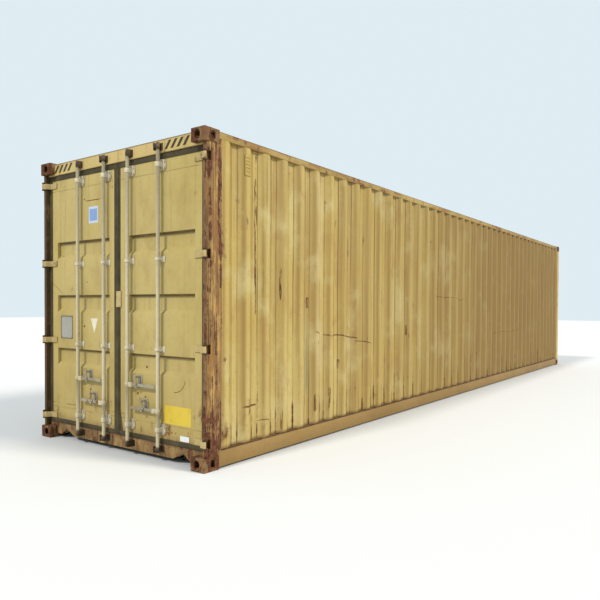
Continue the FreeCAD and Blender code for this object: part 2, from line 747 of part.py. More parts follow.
# ================================================================ handle retainers and catches
def retainer(y, toward, hub_z, reach):
    c = y + toward * reach
    x_rod = door_end + rod_u
    bar_low = hub_z - handle_height / 2.0
    floor_z = bar_low - cradle_gap
    pin_z = hub_z + catch_rise
    x_lip = x_rod - handle_thick / 2.0 - lip_gap
    plate = box(lx0 - retainer_plate, lx0, c - retainer_width / 2.0, c + retainer_width / 2.0,
                floor_z - 2.0 * cradle_floor, pin_z + catch_arm)
    shelf = box(x_lip - cradle_wall, lx0, c - cradle_width / 2.0, c + cradle_width / 2.0,
                floor_z - cradle_floor, floor_z)
    lip = box(x_lip - cradle_wall, x_lip, c - cradle_width / 2.0, c + cradle_width / 2.0,
              floor_z - cradle_floor, bar_low + cradle_lip)
    arm = box(x_lip + face_gap, lx0, c - catch_arm / 2.0, c + catch_arm / 2.0,
              pin_z - catch_arm / 2.0, pin_z + catch_arm / 2.0)
    x_head = x_lip - catch_thick - face_gap
    pin = cyl(V(x_head - catch_head, c, pin_z), V(1, 0, 0), catch_pin, lx0 - x_head)
    head = cyl(V(x_head - catch_head, c, pin_z), V(1, 0, 0), catch_pin + 4.0, catch_head)
    return fuse([plate, shelf, lip, arm, pin, head])


def catch(y, toward, hub_z, reach):
    """Hanging hook plate in front of the handle, its foot bent toward the rod."""
    c = y + toward * reach
    x_lip = door_end + rod_u - handle_thick / 2.0 - lip_gap
    x_face = x_lip - catch_thick
    pin_z = hub_z + catch_rise
    low = hub_z - handle_height / 2.0 + cradle_lip + lip_gap
    half = catch_shank / 2.0
    shape = [(half, pin_z), (half, low), (-half - catch_foot, low),
             (-half - catch_foot, low + catch_shank), (-half, low + catch_shank), (-half, pin_z)]
    plate = prism([V(x_face, c + toward * a, z) for a, z in shape], V(catch_thick, 0, 0))
    eye = cyl(V(x_face, c, pin_z), V(1, 0, 0), catch_eye, catch_thick)
    hole = cyl(V(x_face - 1, c, pin_z), V(1, 0, 0), catch_pin + pin_gap, catch_thick + 2)
    return fuse([plate, eye]).cut(hole)


# ================================================================ both doors
for side, name, numbers in ((1, "left", (1, 2)), (-1, "right", (3, 4))):
    turn = (lambda shape: shape) if side > 0 else mirror_y
    add(name + "_door_frame", [turn(leaf_frame)])
    add(name + "_door_panel", [turn(leaf_panel)])
    add(name + "_door_seal", [turn(seal)])
    add(name + "_door_hinges", [turn(b) for b in blades])
    add(name + "_rod_brackets", [turn(b) for b in brackets])
    add(name + "_handle_retainers", [retainer(*rods[n], retainer_reach[n]) for n in numbers])

half_overlap = overlap_width / 2.0
plate = box(lx0 - lip_thick - overlap_thick, lx0 - lip_thick, -half_overlap, half_overlap,
            overlap_low, overlap_high)
pad = box(lx0 - lip_thick, lx0, -half_overlap, -ly0, overlap_low, overlap_high)
add("right_overlap_plate", [plate.fuse(pad).removeSplitter()])

for n in rods:
    add("lock_rod_%d" % n, [lock_rod(*rods[n])])
    add("handle_%d" % n, [handle(*rods[n])])
    add("catch_%d" % n, [catch(*rods[n], retainer_reach[n])])

# ================================================================ files
for name in sorted(nodes):
    Part.makeCompound(nodes[name]).exportStep("parts/%s.step" % name)
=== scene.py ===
import math
import bmesh
import bpy
from mathutils import Matrix, Vector, noise


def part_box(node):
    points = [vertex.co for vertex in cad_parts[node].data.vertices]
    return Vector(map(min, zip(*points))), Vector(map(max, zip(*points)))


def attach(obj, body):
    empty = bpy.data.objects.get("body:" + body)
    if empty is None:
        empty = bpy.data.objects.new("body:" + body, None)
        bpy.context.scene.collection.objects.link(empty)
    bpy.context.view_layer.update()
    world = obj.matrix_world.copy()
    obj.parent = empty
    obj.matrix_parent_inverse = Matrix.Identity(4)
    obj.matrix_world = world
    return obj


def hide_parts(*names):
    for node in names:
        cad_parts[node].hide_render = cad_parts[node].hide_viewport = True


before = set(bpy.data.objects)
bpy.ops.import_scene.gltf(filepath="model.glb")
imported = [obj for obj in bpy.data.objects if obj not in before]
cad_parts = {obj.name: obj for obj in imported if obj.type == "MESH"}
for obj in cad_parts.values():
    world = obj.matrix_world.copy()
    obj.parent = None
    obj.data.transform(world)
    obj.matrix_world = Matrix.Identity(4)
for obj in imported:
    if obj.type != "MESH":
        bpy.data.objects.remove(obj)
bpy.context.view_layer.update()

# ------------------------------------------------------------------ side walls
# Sheet steel 2 mm thick, pressed into upright ribs 36 mm deep, spray painted, and seam
# welded between the top and bottom rails. Knocks from other loads have rusted through.
door_end, half_length, half_width = -6.096, 6.096, 1.219
wall_low, wall_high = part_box("left_side_wall")[0][2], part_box("left_side_wall")[1][2]
wall_start, wall_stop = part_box("left_side_wall")[0][0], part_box("left_side_wall")[1][0]
rib_crest, rib_slope, rib_valley, rib_depth = 0.072, 0.068, 0.070, 0.036
wall_sheet, wall_inset = 0.002, 0.008
rib_pitch = rib_crest + rib_valley + 2 * rib_slope
first_crest = door_end + 0.546
old_rust = (0.060, 0.024, 0.013, 1)
new_rust = (0.255, 0.098, 0.036, 1)
dry_stain = (0.200, 0.120, 0.050, 1)


class Finish:
    """One weathered surface, wired a node at a time from the piece's own coordinates."""

    def __init__(self, name):
        self.material = bpy.data.materials.new(name)
        self.material.use_nodes = True
        self.tree = self.material.node_tree
        self.tree.nodes.clear()
        self.place = self.add("ShaderNodeTexCoord").outputs["Object"]
        self.axes = self.add("ShaderNodeSeparateXYZ", Vector=self.place).outputs

    def add(self, kind, **values):
        node = self.tree.nodes.new(kind)
        for key, value in values.items():
            self.feed(node.inputs[key.replace("_", " ")], value)
        return node

    def feed(self, socket, value):
        if isinstance(value, bpy.types.NodeSocket):
            self.tree.links.new(value, socket)
        else:
            socket.default_value = value

    def stretched(self, x, y, z, shift=(0, 0, 0)):
        mapping = self.add("ShaderNodeMapping", Vector=self.place, Scale=(x, y, z), Location=shift)
        return mapping.outputs["Vector"]

    def cloud(self, scale, detail=4.0, rough=0.55, place=None, warp=0.0):
        return self.add("ShaderNodeTexNoise", Vector=place or self.place, Scale=scale, Detail=detail,
                        Roughness=rough, Distortion=warp).outputs["Fac"]

    def ramp(self, value, low, high, start=0.0, end=1.0):
        node = self.tree.nodes.new("ShaderNodeMapRange")
        node.interpolation_type = "SMOOTHSTEP"
        keys = ("Value", "From Min", "From Max", "To Min", "To Max")
        for key, given in zip(keys, (value, low, high, start, end)):
            self.feed(node.inputs[key], given)
        return node.outputs["Result"]

    def sum(self, kind, a, b=0.0, c=0.0):
        node = self.tree.nodes.new("ShaderNodeMath")
        node.operation = kind
        for socket, given in zip(node.inputs, (a, b, c)):
            self.feed(socket, given)
        return node.outputs[0]

    def band(self, axis, centre, reach, amount=1.0):
        """amount at one height or place along an axis, fading out over the reach either side."""
        away = self.sum("ABSOLUTE", self.sum("SUBTRACT", self.axes[axis], centre))
        return self.ramp(away, 0.0, reach, amount, 0.0)

    def blend(self, share, first, second):
        node = self.tree.nodes.new("ShaderNodeMix")
        node.data_type = "RGBA"
        for socket, given in zip((node.inputs[0], node.inputs[6], node.inputs[7]), (share, first, second)):
            self.feed(socket, given)
        return node.outputs[2]

    def close(self, colour, roughness, height, depth=0.001, gloss=0.18):
        shader = self.add("ShaderNodeBsdfPrincipled", Base_Color=colour, Roughness=roughness)
        shader.inputs["Specular IOR Level"].default_value = gloss
        bump = self.add("ShaderNodeBump", Height=height, Distance=depth)
        bump.inputs["Strength"].default_value = 0.8
        self.feed(shader.inputs["Normal"], bump.outputs["Normal"])
        out = self.tree.nodes.new("ShaderNodeOutputMaterial")
        self.feed(out.inputs["Surface"], shader.outputs["BSDF"])
        return self.material


def weathered(name, coat, faded, limit, runs=0.35, grime=0.25, extra=None, patches=None, blush=0.5,
              stain_and_shade=None, rusts=(old_rust, new_rust)):
    """Old paint: fading, dirt runs, and rust where the cloudy rust field passes the limit.

    extra adds to the rust field, patches are bare rust, and stain tints the paint before it,
    with stains, and on the walls and door leaves with painted shade as well.
    """
    f = Finish(name)
    colour = f.blend(f.ramp(f.cloud(0.9, 4, 0.6), 0.36, 0.64), coat, faded)
    deep = tuple(0.62 * c for c in coat[:3]) + (1,)
    colour = f.blend(f.ramp(f.cloud(30, 5, 0.65), 0.50, 0.78, 0.0, grime), colour, deep)
    streak = f.cloud(1.0, 6, 0.62, f.stretched(15, 15, 0.5))
    colour = f.blend(f.ramp(streak, 0.53, 0.74, 0.0, runs), colour, dry_stain)
    if stain_and_shade:
        colour = stain_and_shade(f, colour)
    field = f.sum("MULTIPLY_ADD", f.cloud(5.5, 9, 0.68, warp=0.4), 0.55,
                  f.sum("MULTIPLY", f.cloud(1.0, 8, 0.66, f.stretched(13, 13, 2.2)), 0.45))
    if extra:
        field = f.sum("ADD", field, extra(f))
    halo = f.ramp(field, limit - 0.075, limit + 0.01, 0.0, blush)
    mask = f.ramp(field, limit, limit + 0.03)
    if patches:
        mask = f.sum("MAXIMUM", mask, patches(f))
    rust = f.blend(f.ramp(f.cloud(26, 8, 0.72), 0.36, 0.66), *rusts)
    colour = f.blend(halo, colour, dry_stain)
    colour = f.blend(mask, colour, rust)
    rough = f.ramp(mask, 0, 1, 0.25, 1.0)
    pits = f.sum("MULTIPLY_ADD", f.cloud(140, 4, 0.6), rough, f.sum("MULTIPLY", mask, 0.5))
    return f.close(colour, f.ramp(mask, 0, 1, 0.60, 0.94), pits, 0.0014)


def finished(bm, name, body, material, replaces=(), mats=None):
    """Turns a bmesh into a piece of the container that rides on its body."""
    mesh = bpy.data.meshes.new(name)
    bm.to_mesh(mesh)
    bm.free()
    piece = bpy.data.objects.new(name, mesh)
    bpy.context.scene.collection.objects.link(piece)
    for finish in (mats or [material]):
        mesh.materials.append(finish)
    mesh.polygons.foreach_set("use_smooth", [True] * len(mesh.polygons))
    mesh.set_sharp_from_angle(angle=math.radians(32))
    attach(piece, body)
    if replaces:
        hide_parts(*replaces)


def rib_folds(start, stop, crest_at, crest, slope, valley, depth):
    """Fold lines of a ribbed sheet, as (place along it, depth), flat at both ends."""
    pitch = crest + valley + 2 * slope
    centre = crest_at + math.ceil((start + crest / 8 - crest_at + crest / 2) / pitch) * pitch
    folds = [(start, 0.0)]
    while centre + pitch - crest / 2 + crest / 8 <= stop + 1e-6:
        a = centre + crest / 2
        folds += [(a, 0.0), (a + slope, depth), (a + slope + valley, depth), (a + 2 * slope + valley, 0.0)]
        centre += pitch
    return folds + [(stop, 0.0)]


def new_verts(made):
    """The vertices among what an operator made."""
    return [part for part in made["geom"] if isinstance(part, bmesh.types.BMVert)]


def pressed_sheet(folds, place, run, bend, rows, wobble):
    """A folded sheet with rounded bends, swept along run and knocked about by the wobble."""
    bm = bmesh.new()
    line = [bm.verts.new(place(a, d)) for a, d in folds]
    edges = [bm.edges.new(pair) for pair in zip(line, line[1:])]
    swept = bmesh.ops.extrude_edge_only(bm, edges=edges)
    bmesh.ops.translate(bm, vec=run, verts=new_verts(swept))
    inner = [e for e in bm.edges if len(e.link_faces) == 2]
    bmesh.ops.bevel(bm, geom=inner, offset=bend, offset_type="OFFSET", segments=3, profile=0.5,
                    affect="EDGES", clamp_overlap=True, material=-1)
    way = run.normalized()
    along = [e for e in bm.edges if abs((e.verts[1].co - e.verts[0].co).normalized().dot(way)) > 0.99]
    bmesh.ops.subdivide_edges(bm, edges=along, cuts=rows - 1, use_grid_fill=True)
    for v in bm.verts:
        v.co += wobble(v.co)
    bmesh.ops.recalc_face_normals(bm, faces=bm.faces)
    return bm


def give_thickness(bm, outward, sheet):
    """Faces turned to the outward side, then a second skin behind them."""
    face = max(bm.faces, key=lambda g: g.calc_area())
    if face.normal.dot(outward) < 0:
        bmesh.ops.reverse_faces(bm, faces=bm.faces)
    bmesh.ops.solidify(bm, geom=bm.faces[:], thickness=sheet)


def fold_phase(f):
    """0 to 1 along one rib, from the middle of one crest to the next."""
    return f.sum("FRACT", f.sum("MULTIPLY_ADD", f.axes[0], 1 / rib_pitch, 40 - first_crest / rib_pitch))


def fold_line(f, phase, centre, reach):
    return f.ramp(f.sum("ABSOLUTE", f.sum("SUBTRACT", phase, centre)), 0.0, reach, 1.0, 0.0)


def wall_knocks(f):
    """Rust in the inner folds, thickest at the foot, and dots where fenders rub the crests."""
    phase, height = fold_phase(f), f.axes[2]
    inner = f.sum("MAXIMUM", fold_line(f, phase, 0.374, 0.060), fold_line(f, phase, 0.640, 0.070))
    outer = f.sum("MAXIMUM", fold_line(f, phase, 0.130, 0.035), fold_line(f, phase, 0.870, 0.035))
    upright = f.ramp(f.cloud(1.0, 5, 0.6, f.stretched(7.0, 0.2, 0.8)), 0.38, 0.66)
    low = f.ramp(height, 0.70, 0.25, 0.0, 0.150)
    deep = f.sum("MULTIPLY", inner, f.sum("MULTIPLY_ADD", upright, 0.085, low))
    rub = f.sum("ADD", f.band(2, 0.452, 0.050, 0.190), f.band(2, 1.02, 0.045, 0.175))
    rubbed = f.ramp(f.cloud(1.1, 2, 0.5, f.stretched(1, 0, 0)), 0.40, 0.56)
    dots = f.sum("MULTIPLY", outer, f.sum("MULTIPLY", rub, rubbed))
    foot = f.ramp(height, 0.36, 0.17, 0.0, 0.030)
    patchy = f.ramp(f.cloud(5, 3, 0.5), 0.35, 0.60, 0.3, 1.0)
    first = f.sum("MULTIPLY", f.band(0, -5.398, 0.030, 0.125), patchy)
    first = f.sum("MULTIPLY", first, f.ramp(height, 0.95, 1.25))
    edge = f.sum("ADD", f.band(0, wall_start, 0.10, 0.09), first)
    return f.sum("ADD", f.sum("ADD", deep, dots), f.sum("ADD", foot, edge))


# Rusted knocks: place along the wall, height, and how far each reaches along and up.
wall_blots = ((-5.398, 2.35, 0.030, 0.30), (-5.398, 1.75, 0.020, 0.55), (-4.563, 1.44, 0.035, 0.075),
              (-3.975, 0.76, 0.025, 0.07), (-4.462, 0.39, 0.030, 0.12), (-4.185, 0.41, 0.030, 0.15),
              (-5.030, 0.30, 0.022, 0.14), (-2.296, 1.09, 0.030, 0.09), (-5.050, 1.62, 0.018, 0.20))
# Long scores: height at the start, slope, start and end along the wall, and width.
wall_scores = ((1.130, -0.135, -4.42, -3.62, 0.014), (0.985, -0.055, -3.62, -3.25, 0.011),
               (0.478, -0.02, -5.57, -5.41, 0.016), (0.322, -0.06, -5.34, -5.23, 0.008),
               (1.55, -0.02, -1.3, -0.2, 0.007), (0.92, 0.02, 1.2, 2.9, 0.007))


def wall_scratches(f):
    """Knocks and scores rusted through the paint, and the rusted foot weld."""
    along, height = f.axes[0], f.axes[2]
    total = f.sum("MULTIPLY", f.ramp(height, 0.172, 0.166), f.ramp(f.cloud(16, 5, 0.6), 0.30, 0.44))
    ragged = f.ramp(f.cloud(1.0, 6, 0.7, f.stretched(40, 1, 5)), 0.40, 0.56)
    for x, z, wide, tall in wall_blots:
        blot = f.sum("MULTIPLY", f.band(0, x, wide), f.ramp(f.band(2, z, tall), 0.0, 0.4))
        total = f.sum("MAXIMUM", total, f.sum("MULTIPLY", f.ramp(blot, 0.05, 0.45), ragged))
    for level, slant, start, stop, wide in wall_scores:
        line = f.sum("MULTIPLY_ADD", along, slant, level - slant * start)
        line = f.sum("ADD", line, f.ramp(f.cloud(4.5, 3, 0.5), 0.3, 0.7, -0.018, 0.018))
        away = f.sum("ABSOLUTE", f.sum("SUBTRACT", height, line))
        near = f.ramp(away, wide * 0.2, wide * 0.8, 1.0, 0.0)
        span = f.sum("MULTIPLY", f.ramp(along, start - 0.05, start),
                     f.ramp(along, stop, stop + 0.05, 1.0, 0.0))
        broken = f.ramp(f.cloud(9, 2, 0.5), 0.38, 0.50)
        total = f.sum("MAXIMUM", total, f.sum("MULTIPLY", near, f.sum("MULTIPLY", span, broken)))
    return total


def wall_stain_and_shade(f, colour):
    """Dirt and painted shade on the rib sides, dirt in the folds, a long grey-green run, a dark foot line.
    """
    phase = fold_phase(f)
    # Painted shade mixed with dirt on both sloping sides of each rib, widest on the side facing the door
    # end.
    slope_dirt_and_shade = f.sum("MAXIMUM", fold_line(f, phase, 0.85, 0.20), fold_line(f, phase, 0.26, 0.11))
    streaks = f.cloud(1.0, 5, 0.6, f.stretched(16, 4, 0.45))
    colour = f.blend(f.sum("MULTIPLY", slope_dirt_and_shade, f.ramp(streaks, 0.30, 0.62, 0.18, 0.75)), colour,
                     (0.205, 0.122, 0.036, 1))
    broad = f.cloud(1.0, 4, 0.6, f.stretched(2.6, 0.2, 0.30))
    colour = f.blend(f.ramp(broad, 0.44, 0.66, 0.0, 0.55), colour, (0.270, 0.170, 0.052, 1))
    colour = f.blend(f.ramp(f.cloud(1.7, 5, 0.62), 0.50, 0.68, 0.0, 0.50), colour, (0.490, 0.420, 0.200, 1))
    tan = f.cloud(1.0, 6, 0.66, f.stretched(3.4, 1, 2.2, (4, 0, 2)))
    colour = f.blend(f.ramp(tan, 0.54, 0.66, 0.0, 0.42), colour, (0.290, 0.170, 0.058, 1))
    # Darker towards the far end of the wall.
    colour = f.blend(f.ramp(f.axes[0], -5.2, 2.4, 0.0, 0.80), colour, (0.190, 0.116, 0.036, 1))
    folds = f.sum("MAXIMUM", fold_line(f, phase, 0.374, 0.030), fold_line(f, phase, 0.640, 0.040))
    colour = f.blend(f.sum("MULTIPLY", folds, f.ramp(streaks, 0.38, 0.60, 0.10, 0.90)), colour,
                     (0.105, 0.052, 0.019, 1))
    reach = f.sum("MULTIPLY", f.ramp(f.axes[2], 0.45, 0.60), f.ramp(f.axes[2], 1.55, 0.75))
    run = f.sum("MULTIPLY", f.band(0, -4.57, 0.045), reach)
    colour = f.blend(f.sum("MULTIPLY", run, 0.75), colour, (0.170, 0.155, 0.085, 1))
    pale = f.sum("MULTIPLY", f.band(0, -4.36, 0.13), f.ramp(f.cloud(2.0, 4, 0.5), 0.3, 0.6, 0.0, 0.5))
    colour = f.blend(pale, colour, (0.520, 0.430, 0.230, 1))
    foot = f.ramp(f.axes[2], 0.205, 0.168, 0.0, 0.80)
    return f.blend(foot, colour, (0.150, 0.085, 0.032, 1))


wall_paint = weathered("wall_paint", (0.400, 0.285, 0.082, 1), (0.430, 0.325, 0.112, 1), 0.655,
                       runs=0.75, grime=0.35, extra=wall_knocks, patches=wall_scratches, blush=0.80,
                       stain_and_shade=wall_stain_and_shade, rusts=((0.062, 0.030, 0.013, 1), (0.165, 0.074, 0.024, 1)))
for side, label in ((1, "left"), (-1, "right")):
    def wall_place(a, d, side=side):
        return Vector((a, side * (half_width - wall_inset - d), wall_low))

    def knocks(co, side=side):
        edge = min(1.0, (co.z - wall_low) / 0.25, (wall_high - co.z) / 0.25, (co.x - wall_start) / 0.3,
                   (wall_stop - co.x) / 0.3)
        push = noise.noise(Vector((co.x * 0.55, 7 * side, co.z * 0.9))) * 0.007
        push += noise.noise(Vector((co.x * 2.3, 3 * side, co.z * 2.1))) * 0.003
        return Vector((0, -side * max(push, -0.005) * max(0.0, edge), 0))

    folds = rib_folds(wall_start, wall_stop, first_crest, rib_crest, rib_slope, rib_valley, rib_depth)
    wall = pressed_sheet(folds, wall_place, Vector((0, 0, wall_high - wall_low)), 0.013, 22, knocks)
    give_thickness(wall, Vector((0, side, 0)), wall_sheet)
    finished(wall, label + "_ribbed_wall", "container_frame", wall_paint,
             [label + "_side_wall"])

# ------------------------------------------------------------------ closed end wall
# The same 2 mm sheet, folded into wider and steeper ribs, spray painted and seam welded
# between the posts, the top rail and the sill of the closed end.
end_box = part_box("front_end_wall")


def end_place(a, d):
    return Vector((half_length - wall_inset - d, a, end_box[0][2]))


def end_push(co):
    edge = min(1.0, (co.z - end_box[0][2]) / 0.3, (end_box[1][2] - co.z) / 0.3, (1.15 - abs(co.y)) / 0.2)
    return Vector((-max(0.0, edge) * abs(noise.noise(Vector((5, co.y * 0.9, co.z * 0.8)))) * 0.008, 0, 0))


folds = rib_folds(end_box[0][1], end_box[1][1], 0.0, 0.110, 0.018, 0.104, 0.045)
end_paint = weathered("end_wall_paint", (0.400, 0.285, 0.082, 1), (0.430, 0.325, 0.112, 1), 0.640,
                      runs=0.60, grime=0.30, blush=0.75)
end_rise = Vector((0, 0, end_box[1][2] - end_box[0][2]))
end_wall = pressed_sheet(folds, end_place, end_rise, 0.008, 16, end_push)
give_thickness(end_wall, Vector((1, 0, 0)), wall_sheet)
finished(end_wall, "closed_end_ribbed_wall", "container_frame", end_paint, ["front_end_wall"])

# ------------------------------------------------------------------ roof
# Thin steel sheet with shallow troughs pressed across it, welded down on the top rails.
# Its paint is chalky and walked on, with rust starting in the troughs.
roof_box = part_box("roof_panel")
roof_y = roof_box[1][1]
roof_sheet = 0.002


def roof_extra(f):
    return f.ramp(f.axes[2], 2.874, 2.866, 0.0, 0.035)


roof_paint = weathered("roof_paint", (0.400, 0.300, 0.125, 1), (0.450, 0.370, 0.200, 1), 0.625,
                       runs=0.2, grime=0.45, extra=roof_extra)


def roof_place(a, d):
    return Vector((a, -roof_y, roof_box[1][2] - d))


def roof_sag(co):
    edge = min(1.0, (roof_y - abs(co.y)) / 0.2)
    return Vector((0, 0, -max(0.0, edge) * abs(noise.noise(Vector((co.x * 0.7, co.y * 0.9, 2)))) * 0.008))


folds = rib_folds(roof_box[0][0], roof_box[1][0], roof_box[0][0] + 0.091, 0.091, 0.025, 0.068, 0.020)
roof = pressed_sheet(folds, roof_place, Vector((0, 2 * roof_y, 0)), 0.008, 8, roof_sag)
give_thickness(roof, Vector((0, 0, 1)), roof_sheet)
finished(roof, "troughed_roof", "container_frame", roof_paint, ["roof_panel"])

# ------------------------------------------------------------------ corner castings
# Cast steel blocks with lifting holes, welded to the posts. Their paint is nearly gone
# and the steel under it is thick with rust, lighter where it is rubbed.


def eased(node, width, segments=2):
    """A copy of a steel part with its edges ground or rolled round, or left as cut at no width."""
    bm = bmesh.new()
    bm.from_mesh(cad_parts[node].data)
    bmesh.ops.remove_doubles(bm, verts=bm.verts, dist=2e-5)
    if width > 0:
        bmesh.ops.dissolve_limit(bm, angle_limit=math.radians(0.6), verts=bm.verts, edges=bm.edges)
        edges = [e for e in bm.edges
                 if len(e.link_faces) == 2 and e.calc_face_angle(0.0) > math.radians(28)]
        bmesh.ops.bevel(bm, geom=edges, offset=width, offset_type="OFFSET", segments=segments, profile=0.5,
                        affect="EDGES", clamp_overlap=True, material=-1)
    return bm


def casting_wear(f):
    return f.sum("ADD", f.ramp(f.cloud(3.0, 3, 0.5), 0.40, 0.62, 0.0, 0.05), 0.03)


casting_finish = weathered("rusted_casting", (0.135, 0.062, 0.025, 1), (0.170, 0.084, 0.036, 1), 0.515,
                           runs=0.4, grime=0.5, extra=casting_wear, blush=0.8,
                           rusts=((0.058, 0.023, 0.012, 1), (0.135, 0.052, 0.021, 1)))
for node in ("bottom_corner_castings", "top_corner_castings"):
    finished(eased(node, 0.004, 2), node.replace("corner_castings", "corner_blocks"), "container_frame",
             casting_finish, [node])

# ------------------------------------------------------------------ corner posts
# Folded and rolled steel, welded to the castings. The right door post has lost most of its
# paint, the left one is brown and dull, and those of the closed end still hold their coat.


def near_post_rust(f):
    upright = f.cloud(1.0, 5, 0.6, f.stretched(30, 30, 1.3))
    return f.sum("ADD", f.ramp(upright, 0.36, 0.60, -0.03, 0.10), f.ramp(f.axes[2], 0.9, 0.1, 0.0, 0.04))


def post_stain(f, colour):
    """Brown runs down most of the post, with flecks of old paint between them."""
    upright = f.cloud(1.0, 6, 0.65, f.stretched(24, 24, 0.8, (3, 1, 0)))
    colour = f.blend(f.ramp(upright, 0.38, 0.56, 0.15, 0.95), colour, (0.180, 0.082, 0.026, 1))
    colour = f.blend(f.ramp(f.cloud(11, 6, 0.68), 0.46, 0.62, 0.0, 0.60), colour, (0.265, 0.120, 0.036, 1))
    flecks = f.ramp(f.cloud(1.0, 7, 0.72, f.stretched(20, 20, 3.2, (5, 5, 5))), 0.50, 0.59, 0.0, 0.85)
    inboard = f.ramp(f.axes[0], -6.066, -6.046)
    colour = f.blend(f.sum("MULTIPLY", inboard, flecks), colour, (0.400, 0.250, 0.080, 1))
    cloudy = f.ramp(f.cloud(1.0, 5, 0.6, f.stretched(9, 9, 1.5)), 0.30, 0.55, 0.30, 0.85)
    front = f.sum("MULTIPLY", f.ramp(f.axes[0], -6.036, -6.060), cloudy)
    colour = f.blend(front, colour, (0.120, 0.054, 0.022, 1))
    lines = f.cloud(1.0, 5, 0.6, f.stretched(60, 60, 0.6, (7, 2, 0)))
    return f.blend(f.ramp(lines, 0.52, 0.62, 0.0, 0.80), colour, (0.058, 0.026, 0.012, 1))


near_post = weathered("rusted_post", (0.345, 0.215, 0.064, 1), (0.400, 0.265, 0.085, 1), 0.575,
                      runs=0.8, grime=0.4, extra=near_post_rust, blush=0.85, stain_and_shade=post_stain,
                      rusts=((0.060, 0.023, 0.013, 1), (0.150, 0.058, 0.026, 1)))
far_post = weathered("dull_post", (0.054, 0.031, 0.011, 1), (0.080, 0.048, 0.018, 1), 0.600,
                     runs=0.7, grime=0.5, blush=0.7)
frame_paint = weathered("frame_paint", (0.440, 0.310, 0.110, 1), (0.480, 0.350, 0.140, 1), 0.600,
                        runs=0.5, grime=0.35, blush=0.6)
posts = eased("rear_corner_posts", 0.004, 3)
for face in posts.faces:
    face.material_index = 0 if face.calc_center_median().y < 0 else 1
finished(posts, "door_end_posts", "container_frame", near_post, ["rear_corner_posts"],
         mats=[near_post, far_post])
finished(eased("front_corner_posts", 0.006, 3), "closed_end_posts", "container_frame", frame_paint,
         ["front_corner_posts"])

# ------------------------------------------------------------------ rails
# Square tube along the top and a pressed channel along the foot, both plain and painted.
# The top rail is scraped by spreaders and rusts in orange patches.


def rail_scrapes(f):
    return f.ramp(f.cloud(1.0, 6, 0.66, f.stretched(0.9, 14, 14)), 0.40, 0.66, -0.02, 0.085)


def rail_stain(f, colour):
    """Orange-brown tint in lengths, and a dark line along the top edge."""
    tint = f.cloud(1.0, 5, 0.6, f.stretched(1.6, 9, 9))
    colour = f.blend(f.ramp(tint, 0.42, 0.62, 0.05, 0.85), colour, (0.220, 0.112, 0.034, 1))
    return f.blend(f.ramp(f.axes[2], 2.872, 2.882, 0.0, 0.75), colour, (0.085, 0.046, 0.024, 1))


top_rail_paint = weathered("top_rail_paint", (0.330, 0.228, 0.068, 1), (0.365, 0.262, 0.090, 1), 0.590,
                           runs=0.3, grime=0.4, extra=rail_scrapes, blush=0.8, stain_and_shade=rail_stain,
                           rusts=((0.095, 0.040, 0.020, 1), (0.240, 0.100, 0.040, 1)))
foot_rail_paint = weathered("foot_rail_paint", (0.225, 0.138, 0.046, 1), (0.262, 0.166, 0.058, 1), 0.650,
                            runs=0.25, grime=0.35, blush=0.5)
finished(eased("top_side_rails", 0.006, 3), "top_rails", "container_frame", top_rail_paint,
         ["top_side_rails"])
finished(eased("bottom_side_rails", 0.002, 2), "foot_rails", "container_frame", foot_rail_paint,
         ["bottom_side_rails"])
finished(eased("front_top_rail", 0.005, 3), "closed_end_top_rail", "container_frame", top_rail_paint,
         ["front_top_rail"])
finished(eased("front_sill", 0.0), "closed_end_sill", "container_frame", frame_paint,
         ["front_sill"])

# Rusted seam weld that closes the foot of each side wall on the channel.
weld_rust = weathered("rusted_weld", (0.046, 0.023, 0.010, 1), (0.080, 0.042, 0.017, 1), 0.600,
                      runs=0.3, grime=0.5, blush=0.8,
                      rusts=((0.060, 0.026, 0.013, 1), (0.130, 0.054, 0.022, 1)))
for side, label in ((1, "left"), (-1, "right")):
    bead = bmesh.new()
    made = bmesh.ops.create_cone(bead, cap_ends=True, segments=8, radius1=0.0065, radius2=0.0065,
                                 depth=wall_stop - wall_start)
    turn = Matrix.Rotation(math.radians(90), 4, "Y")
    middle = ((wall_start + wall_stop) / 2, side * (half_width - 0.0078), wall_low + 0.0015)
    bmesh.ops.transform(bead, matrix=Matrix.Translation(middle) @ turn, verts=made["verts"])
    finished(bead, label + "_wall_foot_weld", "container_frame", weld_rust)

# ------------------------------------------------------------------ door header and sill
# Welded box and channel that frame the doorway. The header has black slanted bars at both
# ends to warn of its height; the sill is stained with rust from rain off the doors.


def header_stain(f, colour):
    return f.blend(f.ramp(f.axes[2], 2.868, 2.880, 0.0, 0.85), colour, (0.110, 0.052, 0.025, 1))


header_paint = weathered("header_paint", (0.420, 0.308, 0.110, 1), (0.470, 0.350, 0.135, 1), 0.620,
                         runs=0.4, grime=0.4, blush=0.6, stain_and_shade=header_stain)


def sill_rust(f):
    return f.sum("ADD", f.ramp(f.cloud(1.0, 4, 0.6, f.stretched(6, 6, 1.5)), 0.38, 0.62, 0.0, 0.07), 0.01)


def sill_stain(f, colour):
    mottle = f.cloud(1.0, 6, 0.68, f.stretched(9, 9, 4))
    colour = f.blend(f.ramp(mottle, 0.36, 0.60, 0.15, 0.95), colour, (0.150, 0.072, 0.030, 1))
    return f.blend(f.ramp(f.axes[2], 0.135, 0.158, 0.0, 0.7), colour, (0.070, 0.045, 0.024, 1))


sill_paint = weathered("sill_paint", (0.385, 0.255, 0.088, 1), (0.425, 0.295, 0.108, 1), 0.575,
                       runs=0.85, grime=0.4, extra=sill_rust, blush=0.85, stain_and_shade=sill_stain,
                       rusts=((0.070, 0.032, 0.017, 1), (0.200, 0.085, 0.034, 1)))
finished(eased("door_header", 0.005, 3), "header_beam", "container_frame", header_paint,
         ["door_header"])
finished(eased("door_sill", 0.004, 3), "sill_beam", "container_frame", sill_paint,
         ["door_sill"])

